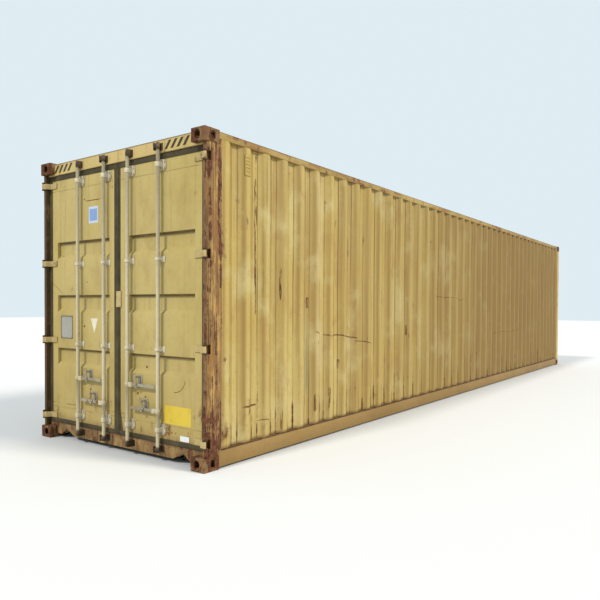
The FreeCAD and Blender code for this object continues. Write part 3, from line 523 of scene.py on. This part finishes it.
bar_paint = weathered("black_bar_paint", (0.034, 0.026, 0.016, 1), (0.050, 0.039, 0.024, 1), 0.66,
                      runs=0.1, grime=0.2, blush=0.2)
header_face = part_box("door_header")[0][0]
bar_low, bar_high, bar_wide, bar_lean, bar_pitch = 2.788, 2.864, 0.036, 0.058, 0.078
bars = bmesh.new()
for i in range(4):
    for foot in (0.790 + bar_pitch * i, -0.695 - bar_pitch * i):
        outline = [(foot, bar_low), (foot + bar_wide, bar_low),
                   (foot + bar_wide - bar_lean, bar_high), (foot - bar_lean, bar_high)]
        bars.faces.new([bars.verts.new((header_face - 0.0004, y, z)) for y, z in outline])
bmesh.ops.recalc_face_normals(bars, faces=bars.faces)
slab = bmesh.ops.extrude_face_region(bars, geom=bars.faces[:])
bmesh.ops.translate(bars, vec=(0.0006, 0, 0), verts=new_verts(slab))
bmesh.ops.recalc_face_normals(bars, faces=bars.faces)
finished(bars, "header_warning_bars", "container_frame", bar_paint)

# ------------------------------------------------------------------ keepers, lugs and pins
# Forged keepers on the header and sill that the cam claws turn into, and the hinge lugs
# and pins in their pockets: bare dark steel, greased and rusty.
dark_steel = weathered("dark_steel", (0.034, 0.019, 0.011, 1), (0.056, 0.032, 0.017, 1), 0.610,
                       runs=0.2, grime=0.5, blush=0.4,
                       rusts=((0.024, 0.012, 0.008, 1), (0.062, 0.028, 0.014, 1)))
for node, name in (("header_keepers", "header_claw_keepers"), ("sill_keepers", "sill_claw_keepers"),
                   ("hinge_lugs", "hinge_lug_plates"), ("hinge_pins", "hinge_pin_bolts")):
    finished(eased(node, 0.0015, 2), name, "container_frame", dark_steel,
             [node])

# ------------------------------------------------------------------ floor and underframe
# Plywood boards on pressed steel cross members, with a gooseneck tunnel at the closed end,
# all the steel below coated in black underseal.
f = Finish("plywood_floor")
grain = f.cloud(3.0, 8, 0.62, f.stretched(0.8, 14, 6))
board_wide, board_long = 0.39, 2.4
board = f.sum("FRACT", f.sum("MULTIPLY", f.axes[1], 1 / board_wide))
row = f.sum("FRACT", f.sum("MULTIPLY", f.axes[0], 1 / board_long))
joint = f.sum("MINIMUM", f.ramp(f.sum("ABSOLUTE", f.sum("SUBTRACT", board, 0.5)), 0.492, 0.498, 1.0, 0.0),
              f.ramp(f.sum("ABSOLUTE", f.sum("SUBTRACT", row, 0.5)), 0.4985, 0.4995, 1.0, 0.0))
wood = f.blend(f.ramp(grain, 0.3, 0.7), (0.150, 0.085, 0.042, 1), (0.330, 0.205, 0.110, 1))
wood = f.blend(f.ramp(f.cloud(1.4, 6, 0.6), 0.5, 0.7, 0.0, 0.5), wood, (0.060, 0.045, 0.035, 1))
wood = f.blend(joint, (0.015, 0.011, 0.008, 1), wood)
floor_finish = f.close(wood, f.ramp(grain, 0.3, 0.7, 0.55, 0.75),
                       f.sum("MULTIPLY_ADD", joint, 1.5, grain), 0.0012)
finished(eased("floor_boards", 0.001, 1), "plywood_boards", "container_frame", floor_finish,
         ["floor_boards"])
underseal = weathered("black_underseal", (0.018, 0.018, 0.018, 1), (0.035, 0.033, 0.030, 1), 0.625,
                      runs=0.2, grime=0.4, blush=0.4)
finished(eased("cross_members", 0.001, 1), "pressed_cross_members", "container_frame", underseal,
         ["cross_members"])
finished(eased("gooseneck_tunnel", 0.0), "tunnel_plates", "container_frame", underseal,
         ["gooseneck_tunnel"])

# ------------------------------------------------------------------ ventilators
# Small pressed steel covers with slots that let air through the wall, riveted near its top
# and painted over with the wall.
vents = eased("ventilators", 0.0012, 2)
vent_paint = weathered("vent_paint", (0.370, 0.255, 0.070, 1), (0.400, 0.290, 0.092, 1), 0.620,
                       runs=0.5, grime=0.5)
finished(vents, "vent_covers", "container_frame", vent_paint, ["ventilators"])

# ------------------------------------------------------------------ door leaves
# A welded tube frame round a pressed panel with level troughs, spray painted. Dents,
# scratches and drips of rust are worst low down and under the fittings.
leaf_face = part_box("left_door_frame")[0][0]
panel_low, panel_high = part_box("left_door_panel")[0][2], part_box("left_door_panel")[1][2]
panel_inner, panel_outer = 0.150, 1.030
trough_tops, trough_depth, leaf_sheet = (2.0598, 1.5050, 0.9520), 0.036, 0.003
# Rust spots on the leaves: place across, height and size.
leaf_spots = ((-0.362, 0.834, 0.014), (-0.276, 0.585, 0.016), (-0.383, 0.560, 0.012), (0.516, 1.637, 0.010),
              (0.560, 1.190, 0.014), (0.556, 2.470, 0.010), (-0.742, 0.272, 0.010), (-0.700, 0.270, 0.008),
              (-0.790, 0.274, 0.008), (0.455, 0.560, 0.016), (0.971, 1.920, 0.010), (0.250, 0.300, 0.010))


def leaf_rust(f):
    low = f.ramp(f.axes[2], 0.75, 0.17, -0.004, 0.065)
    edge = f.band(1, 1.149, 0.10, 0.045)
    other = f.band(1, -1.149, 0.10, 0.055)
    return f.sum("ADD", low, f.sum("ADD", edge, other))


def leaf_scratches(f):
    """A hooked scratch low on the right leaf, level scores, and the rusting top seam."""
    y, z = f.axes[1], f.axes[2]
    ring = f.sum("SQRT", f.sum("ADD", f.sum("POWER", f.sum("ADD", y, 0.775), 2.0),
                               f.sum("POWER", f.sum("SUBTRACT", z, 0.770), 2.0)))
    arc = f.ramp(f.sum("ABSOLUTE", f.sum("SUBTRACT", ring, 0.135)), 0.0015, 0.005, 1.0, 0.0)
    arc = f.sum("MULTIPLY", arc, f.sum("MULTIPLY", f.ramp(z, 0.755, 0.735), f.ramp(y, -0.755, -0.785)))
    seam = f.ramp(f.sum("ABSOLUTE", f.sum("SUBTRACT", z, 2.452)), 0.002, 0.007, 1.0, 0.0)
    seam = f.sum("MULTIPLY", seam, f.sum("MULTIPLY", f.ramp(y, 0.28, 0.32), f.ramp(y, 0.56, 0.50)))
    score = f.ramp(f.sum("ABSOLUTE", f.sum("SUBTRACT", z, 0.372)), 0.001, 0.004, 1.0, 0.0)
    score = f.sum("MULTIPLY", score, f.ramp(f.cloud(7, 4, 0.6), 0.52, 0.60))
    slant = f.sum("SUBTRACT", z, f.sum("MULTIPLY_ADD", y, 0.607, 0.956))
    slant = f.ramp(f.sum("ABSOLUTE", slant), 0.001, 0.005, 0.85, 0.0)
    slant = f.sum("MULTIPLY", slant, f.sum("MULTIPLY", f.ramp(y, 0.93, 0.96), f.ramp(y, 1.16, 1.14)))
    total = f.sum("MAXIMUM", f.sum("MAXIMUM", arc, slant), f.sum("MAXIMUM", seam, score))
    for spot_y, spot_z, size in leaf_spots:
        away = f.sum("SQRT", f.sum("ADD", f.sum("POWER", f.sum("SUBTRACT", y, spot_y), 2.0),
                                   f.sum("POWER", f.sum("SUBTRACT", z, spot_z), 2.0)))
        away = f.sum("MULTIPLY_ADD", f.cloud(60, 3, 0.6), size * 0.9, away)
        total = f.sum("MAXIMUM", total, f.ramp(away, size * 1.1, size * 1.5, 1.0, 0.0))
    return total


def leaf_stain_and_shadow(f, colour):
    """Painted shadow under the upper lip of each trough, and darker paint low down."""
    z, across = f.axes[2], f.sum("ABSOLUTE", f.axes[1])
    low = f.ramp(z, 1.3, 0.25, 0.0, 0.55)
    colour = f.blend(low, colour, (0.355, 0.262, 0.092, 1))
    inside = f.sum("MULTIPLY", f.ramp(across, panel_inner, panel_inner + 0.008),
                   f.ramp(across, panel_outer, panel_outer - 0.008))
    # Painted shadow on the downward slope under the upper lip of each trough.
    lip_shadows = None
    for top in trough_tops:
        lip = f.sum("MULTIPLY", f.ramp(z, top - 0.030, top - 0.012), f.ramp(z, top + 0.004, top - 0.002))
        lip_shadows = lip if lip_shadows is None else f.sum("MAXIMUM", lip_shadows, lip)
    lip_shadows = f.sum("MULTIPLY", lip_shadows, inside)
    colour = f.blend(f.sum("MULTIPLY", lip_shadows, 0.88), colour, (0.085, 0.058, 0.026, 1))
    seams = f.sum("MAXIMUM", f.band(2, panel_high, 0.007), f.band(2, panel_low, 0.007))
    colour = f.blend(f.sum("MULTIPLY", seams, f.ramp(f.cloud(14, 5, 0.6), 0.35, 0.65, 0.2, 0.9)), colour,
                     (0.160, 0.098, 0.042, 1))
    colour = f.blend(f.band(2, panel_low - 0.12, 0.06, 0.45), colour, (0.240, 0.140, 0.055, 1))
    mottle = f.ramp(f.cloud(1.0, 6, 0.66, f.stretched(4, 4, 2.2)), 0.46, 0.70, 0.0, 0.45)
    colour = f.blend(mottle, colour, (0.300, 0.205, 0.066, 1))
    wedge = f.sum("MULTIPLY_ADD", f.sum("SUBTRACT", 0.52, z), -0.20, f.sum("MULTIPLY", f.axes[1], -1.0))
    wedge = f.sum("MULTIPLY", f.ramp(wedge, 0.004, -0.010), f.ramp(f.axes[1], 0.0, -0.005))
    return f.blend(f.sum("MULTIPLY", wedge, 0.85), colour, (0.045, 0.034, 0.020, 1))


door_paint = weathered("door_paint", (0.385, 0.290, 0.094, 1), (0.430, 0.335, 0.126, 1), 0.650,
                       runs=0.42, grime=0.30, extra=leaf_rust, patches=leaf_scratches, blush=0.60,
                       stain_and_shade=leaf_stain_and_shadow)
for side, label in ((1, "left"), (-1, "right")):
    folds = [(panel_low, 0.0)]
    for top in reversed(trough_tops):
        folds += [(top - 0.175, 0.0), (top - 0.140, trough_depth), (top - 0.014, trough_depth), (top, 0.0)]
    folds.append((panel_high, 0.0))
    inner_y, outer_y = side * panel_inner, side * panel_outer

    def leaf_place(a, d, start=inner_y):
        return Vector((leaf_face + d, start, a))

    def leaf_dents(co, side=side):
        edge = min(1.0, (abs(co.y) - panel_inner) / 0.10, (panel_outer - abs(co.y)) / 0.10,
                   (co.z - panel_low) / 0.12, (panel_high - co.z) / 0.12)
        push = noise.noise(Vector((side * 11, co.y * 1.9, co.z * 1.7))) * 0.005
        return Vector((max(0.0, edge) * max(push, -0.001), 0, 0))

    panel = pressed_sheet(folds, leaf_place, Vector((0, outer_y - inner_y, 0)), 0.005, 14, leaf_dents)
    give_thickness(panel, Vector((-1, 0, 0)), leaf_sheet)
    finished(panel, label + "_leaf_panel", label + "_door", door_paint,
             [label + "_door_panel"])
    finished(eased(label + "_door_frame", 0.003, 3), label + "_leaf_frame", label + "_door", door_paint,
             [label + "_door_frame"])

# Seam welds where the panel meets the frame: a low round bead.
weld_paint = weathered("weld_paint", (0.330, 0.240, 0.090, 1), (0.380, 0.290, 0.120, 1), 0.600,
                       runs=0.3, grime=0.5)
for side, label in ((1, "left"), (-1, "right")):
    bead = bmesh.new()
    for z in (panel_low, panel_high):
        made = bmesh.ops.create_cone(bead, cap_ends=True, segments=10, radius1=0.0035, radius2=0.0035,
                                     depth=panel_outer - panel_inner)
        turn = Matrix.Rotation(math.radians(90), 4, "X")
        middle = (leaf_face + 0.0015, side * (panel_inner + panel_outer) / 2, z)
        bmesh.ops.transform(bead, matrix=Matrix.Translation(middle) @ turn, verts=made["verts"])
    finished(bead, label + "_leaf_welds", label + "_door", weld_paint)

# ------------------------------------------------------------------ door seals
# Extruded rubber round each leaf, a lip over the steel edge and fins against the frame.
# Sun and dust have turned its black to a dull brown.
f = Finish("seal_rubber")
dust = f.ramp(f.cloud(5, 7, 0.65), 0.40, 0.70, 0.0, 0.7)
rubber = f.blend(dust, (0.046, 0.037, 0.019, 1), (0.098, 0.077, 0.038, 1))
ridges = f.sum("SINE", f.sum("MULTIPLY", f.sum("ADD", f.axes[1], f.axes[2]), 900.0))
grit = f.sum("MULTIPLY_ADD", f.cloud(90, 3, 0.5), 0.6, f.sum("MULTIPLY", ridges, 0.12))
seal_rubber = f.close(rubber, 0.78, grit, 0.0008)
seal_low, seal_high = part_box("left_door_seal")[0][2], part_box("left_door_seal")[1][2]
for label, first, last in (("left", 0.004, 0.072), ("right", -0.004, -0.021)):
    finished(eased(label + "_door_seal", 0.0015, 2), label + "_leaf_seal", label + "_door", seal_rubber,
             [label + "_door_seal"])
    lip = bmesh.new()
    bmesh.ops.create_cube(lip, size=1.0)
    bmesh.ops.scale(lip, vec=(0.0034, abs(last - first), seal_high - seal_low - 0.02), verts=lip.verts)
    middle = (leaf_face - 0.0017, (first + last) / 2, (seal_low + seal_high) / 2)
    bmesh.ops.translate(lip, vec=middle, verts=lip.verts)
    long = [e for e in lip.edges if abs(e.verts[0].co.z - e.verts[1].co.z) > 1]
    bmesh.ops.bevel(lip, geom=long, offset=0.0012, offset_type="OFFSET", segments=2, profile=0.5,
                    affect="EDGES", clamp_overlap=True, material=-1)
    finished(lip, label + "_meeting_lip", label + "_door", seal_rubber)

# ------------------------------------------------------------------ hinge straps
# Forged cranked straps welded to the leaf and turning on the pins. Their cream paint is
# thin and dirty, with rust under it.
strap_paint = weathered("strap_paint", (0.360, 0.262, 0.105, 1), (0.430, 0.330, 0.155, 1), 0.590,
                        runs=0.6, grime=0.5, blush=0.8)
for label in ("left", "right"):
    finished(eased(label + "_door_hinges", 0.003, 3), label + "_hinge_straps", label + "_door", strap_paint,
             [label + "_door_hinges"])
finished(eased("right_overlap_plate", 0.0015, 2), "right_joint_plate", "right_door", strap_paint,
         ["right_overlap_plate"])

# ------------------------------------------------------------------ lock rods, handles and catches
# Galvanised tube with forged cams and hubs, turning in bolted brackets, with flat bar
# handles held by hanging catches. The zinc is chalky, and rust creeps out at the ends.


def rod_ends(f):
    ends = f.sum("ADD", f.ramp(f.axes[2], 0.26, 0.10, 0.0, 0.06), f.ramp(f.axes[2], 2.74, 2.80, 0.0, 0.06))
    return f.sum("ADD", ends, f.band(2, 0.56, 0.16, 0.035))


def rod_stain(f, colour):
    ends = f.sum("MAXIMUM", f.ramp(f.axes[2], 0.150, 0.120), f.ramp(f.axes[2], 2.775, 2.800))
    return f.blend(f.sum("MULTIPLY", ends, 0.92), colour, (0.028, 0.017, 0.011, 1))


chalky_zinc = weathered("chalky_zinc", (0.440, 0.375, 0.235, 1), (0.510, 0.445, 0.300, 1), 0.655,
                        runs=0.35, grime=0.40, extra=rod_ends, blush=0.6, stain_and_shade=rod_stain,
                        rusts=((0.045, 0.021, 0.011, 1), (0.140, 0.062, 0.028, 1)))
bracket_zinc = weathered("bracket_zinc", (0.480, 0.420, 0.290, 1), (0.560, 0.500, 0.370, 1), 0.640,
                         runs=0.35, grime=0.40, blush=0.6)
grey_zinc = weathered("grey_zinc", (0.215, 0.190, 0.135, 1), (0.330, 0.300, 0.225, 1), 0.610,
                      runs=0.40, grime=0.60, blush=0.7)
rod_place, bracket_heights = {1: 0.606, 2: 0.180, 3: -0.180, 4: -0.606}, (0.290, 2.660)
bracket_wide, bracket_tall, bracket_corner, bracket_thick = 0.124, 0.098, 0.034, 0.0110
bolt_reach, bolt_rise = 0.042, 0.026
eye_inset = 0.013


def rounded_plate(bm, face, y, z, wide, tall, corner, thick):
    """A flat plate with round corners, lying on a leaf and standing out toward the door end."""
    others = set(bm.faces)
    rim = []
    for way_y, way_z, turn in ((1, 1, 0), (-1, 1, 90), (-1, -1, 180), (1, -1, 270)):
        for step in range(7):
            a = math.radians(turn + step * 15)
            rim.append((y + way_y * (wide / 2 - corner) + corner * math.cos(a),
                        z + way_z * (tall / 2 - corner) + corner * math.sin(a)))
    base = bm.faces.new([bm.verts.new((face, py, pz)) for py, pz in rim])
    slab = bmesh.ops.extrude_face_region(bm, geom=[base])
    bmesh.ops.translate(bm, vec=(-thick, 0, 0), verts=new_verts(slab))
    top = [part for part in slab["geom"] if isinstance(part, bmesh.types.BMFace)]
    bmesh.ops.inset_region(bm, faces=top, thickness=thick * 0.4, depth=thick * 0.3)
    bmesh.ops.recalc_face_normals(bm, faces=[g for g in bm.faces if g not in others])


def bolt_head(bm, x, y, z, radius, tall):
    made = bmesh.ops.create_cone(bm, cap_ends=True, segments=6, radius1=radius, radius2=radius * 0.92,
                                 depth=tall)
    turn = Matrix.Rotation(math.radians(-90), 4, "Y")
    bmesh.ops.transform(bm, matrix=Matrix.Translation((x - tall / 2, y, z)) @ turn, verts=made["verts"])


def bent_bar(bm, x, line, radius):
    """A round bar: a ring carried along a line of (y, z) points and turned with it."""
    others = set(bm.faces)
    ring = bmesh.ops.create_circle(bm, segments=8, radius=radius)["verts"]
    first = ring
    before = Matrix.Identity(4)
    for i, (y, z) in enumerate(line):
        (ya, za), (yb, zb) = line[max(i - 1, 0)], line[min(i + 1, len(line) - 1)]
        heading = math.atan2(zb - za, yb - ya)
        place = Matrix.Translation((x, y, z)) @ Matrix.Rotation(heading - math.pi / 2, 4, "X")
        if i:
            edges = [e for e in bm.edges if e.verts[0] in ring and e.verts[1] in ring]
            ring = new_verts(bmesh.ops.extrude_edge_only(bm, edges=edges))
        bmesh.ops.transform(bm, matrix=place @ before.inverted(), verts=ring)
        before = place
    for end in (first, ring):
        edges = [e for e in bm.edges if e.verts[0] in end and e.verts[1] in end]
        bmesh.ops.contextual_create(bm, geom=edges)
    bmesh.ops.recalc_face_normals(bm, faces=[g for g in bm.faces if g not in others])


for n in (1, 2, 3, 4):
    finished(eased("lock_rod_%d" % n, 0.0), "turning_rod_%d" % n, "lock_rod_%d" % n, chalky_zinc,
             ["lock_rod_%d" % n])
    finished(eased("handle_%d" % n, 0.0025, 3), "flat_handle_%d" % n, "handle_%d" % n, grey_zinc,
             ["handle_%d" % n])
    catch_low, catch_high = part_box("catch_%d" % n)
    toward = -1 if n in (1, 3) else 1
    pin_y = catch_high[1] - eye_inset if toward < 0 else catch_low[1] + eye_inset
    pin_z = catch_high[2] - eye_inset
    hook = eased("catch_%d" % n, 0.0015, 2)
    curl = [(pin_y + toward * 0.008 * i / 3, pin_z - 0.045 + 0.015 * i) for i in range(3)]
    for step in range(0, 13):
        a = math.radians(-30 + 20 * step)
        curl.append((pin_y + toward * (0.021 * math.cos(a)), pin_z + 0.012 + 0.023 * math.sin(a)))
    bent_bar(hook, (catch_low[0] + catch_high[0]) / 2, curl, 0.0042)
    finished(hook, "hanging_catch_%d" % n, "catch_%d" % n, grey_zinc, ["catch_%d" % n])
for side, label in ((1, "left"), (-1, "right")):
    blocks = eased(label + "_rod_brackets", 0.0030, 3)
    for n, y in rod_place.items():
        if y * side > 0:
            for z in bracket_heights:
                rounded_plate(blocks, leaf_face - 0.0004, y, z, bracket_wide, bracket_tall, bracket_corner,
                              bracket_thick)
                for reach in (-bolt_reach, bolt_reach):
                    for rise in (-bolt_rise, bolt_rise):
                        bolt_head(blocks, leaf_face - 0.0120, y + reach, z + rise, 0.008, 0.007)
    finished(blocks, label + "_bracket_blocks", label + "_door", bracket_zinc,
             [label + "_rod_brackets"])
    finished(eased(label + "_handle_retainers", 0.002, 2), label + "_retainer_plates", label + "_door",
             grey_zinc, [label + "_handle_retainers"])

# ------------------------------------------------------------------ plates and stickers
# Film stickers pressed on the leaves, and a thin metal data plate with a folded rim, riveted
# at its corners. None of them has any print.


def sticker(name, body, points, face, colour, thick=0.0005):
    """A flat film or sheet through the (y, z) points, standing out from the face."""
    bm = bmesh.new()
    verts = [bm.verts.new((face, y, z)) for y, z in points]
    bm.faces.new(verts)
    slab = bmesh.ops.extrude_face_region(bm, geom=bm.faces[:])
    bmesh.ops.translate(bm, vec=(-thick, 0, 0), verts=new_verts(slab))
    bmesh.ops.recalc_face_normals(bm, faces=bm.faces)
    f = Finish(name + "_finish")
    dirt = f.ramp(f.cloud(12, 6, 0.6), 0.45, 0.75, 0.0, 0.35)
    film = f.blend(dirt, colour, tuple(0.5 * c for c in colour[:3]) + (1,))
    finish = f.close(film, 0.45, f.cloud(60, 3, 0.5), 0.0003, gloss=0.5)
    finished(bm, name, body, finish)


def corners(y0, y1, z0, z1):
    return [(y0, z0), (y1, z0), (y1, z1), (y0, z1)]


sticker("pale_sticker", "left_door", corners(0.330, 0.484, 2.222, 2.388), leaf_face,
        (0.430, 0.500, 0.560, 1))
sticker("blue_sticker", "left_door", corners(0.346, 0.468, 2.246, 2.364), leaf_face - 0.0005,
        (0.180, 0.270, 0.480, 1))
plate_low, plate_high, plate_thick = (0.758, 1.052), (0.972, 1.296), 0.0015
plate_face = leaf_face - plate_thick
sticker("data_plate", "left_door", corners(plate_low[0], plate_high[0], plate_low[1], plate_high[1]),
        leaf_face, (0.285, 0.270, 0.225, 1), plate_thick)
mid_y, mid_z = [(low + high) / 2 for low, high in zip(plate_low, plate_high)]
rim_wide, rim_tall = [high - low - 0.004 for low, high in zip(plate_low, plate_high)]
rim = bmesh.new()
ring = bmesh.ops.create_grid(rim, x_segments=1, y_segments=1, size=0.5)["verts"]
rim_place = Matrix(((0, 0, 0, plate_face), (rim_wide, 0, 0, mid_y), (0, rim_tall, 0, mid_z), (0, 0, 0, 1)))
bmesh.ops.transform(rim, matrix=rim_place, verts=ring)
bmesh.ops.inset_region(rim, faces=rim.faces[:], thickness=0.011, depth=0, use_boundary=True,
                       use_even_offset=True)
centre = Vector((plate_face, mid_y, mid_z))
middle = min(rim.faces, key=lambda g: (g.calc_center_median() - centre).length)
bmesh.ops.delete(rim, geom=[middle], context="FACES")
raised = bmesh.ops.extrude_face_region(rim, geom=rim.faces[:])
bmesh.ops.translate(rim, vec=(-0.0012, 0, 0), verts=new_verts(raised))
for y in (plate_low[0] + 0.018, plate_high[0] - 0.018):
    for z in (plate_low[1] + 0.018, plate_high[1] - 0.018):
        bolt_head(rim, plate_face, y, z, 0.0055, 0.0020)
bmesh.ops.recalc_face_normals(rim, faces=rim.faces)
rim_finish = weathered("plate_rim", (0.125, 0.105, 0.070, 1), (0.180, 0.155, 0.105, 1), 0.60,
                       runs=0.4, grime=0.5)
finished(rim, "data_plate_rim", "left_door", rim_finish)
sticker("white_triangle", "left_door", [(0.395, 1.128), (0.455, 1.272), (0.335, 1.272)], leaf_face,
        (0.620, 0.570, 0.420, 1))
sticker("yellow_panel", "right_door", corners(-0.983, -0.644, 0.347, 0.511), leaf_face,
        (0.560, 0.395, 0.026, 1))
sticker("white_sticker", "right_door", corners(-0.959, -0.846, 0.212, 0.258), leaf_face,
        (0.620, 0.630, 0.620, 1))

# ------------------------------------------------------------------ studio
# A pale floor and an even sky, with one soft light on the doors and one on the near wall.
# The camera stands low, off the corner between the doors and the right side.
ground = bmesh.new()
bmesh.ops.create_grid(ground, x_segments=1, y_segments=1, size=60)
mesh = bpy.data.meshes.new("pale_floor")
ground.to_mesh(mesh)
ground.free()
studio_floor = bpy.data.objects.new("pale_floor", mesh)
bpy.context.scene.collection.objects.link(studio_floor)
f = Finish("pale_floor_finish")
mesh.materials.append(f.close((0.54, 0.54, 0.54, 1), 0.9, f.cloud(2, 2, 0.5), 0.0, gloss=0.2))

world = bpy.data.worlds.new("studio_air")
bpy.context.scene.world = world
world.use_nodes = True
world.node_tree.nodes["Background"].inputs["Color"].default_value = (0.82, 0.94, 1.0, 1)
world.node_tree.nodes["Background"].inputs["Strength"].default_value = 0.90
for name, energy, soft, tint, toward in (("left_light", 2.3, 7, (1.0, 0.97, 0.92), (0.72, -0.07, -0.69)),
                                         ("right_light", 3.0, 14, (1.0, 0.94, 0.84), (-0.16, 0.74, -0.65))):
    lamp = bpy.data.lights.new(name, "SUN")
    lamp.energy, lamp.angle, lamp.color = energy, math.radians(soft), tint
    holder = bpy.data.objects.new(name, lamp)
    holder.matrix_world = Vector(toward).to_track_quat("-Z", "Y").to_matrix().to_4x4()
    bpy.context.scene.collection.objects.link(holder)

lens = bpy.data.cameras.new("camera")
lens.lens, lens.sensor_width = 35.98, 36.0
lens.shift_y = 0.03
lens.clip_end = 200.0
camera = bpy.data.objects.new("camera", lens)
yaw, pitch, roll = 0.6295, -0.0196, 0.005
ahead = Vector((math.cos(yaw) * math.cos(pitch), math.sin(yaw) * math.cos(pitch), math.sin(pitch)))
aim = ahead.to_track_quat("-Z", "Y").to_matrix().to_4x4()
camera.matrix_world = Matrix.Translation((-9.648, -4.787, 1.4035)) @ aim @ Matrix.Rotation(roll, 4, "Z")
bpy.context.scene.collection.objects.link(camera)
bpy.context.scene.camera = camera
bpy.context.scene.view_settings.view_transform = "Standard"
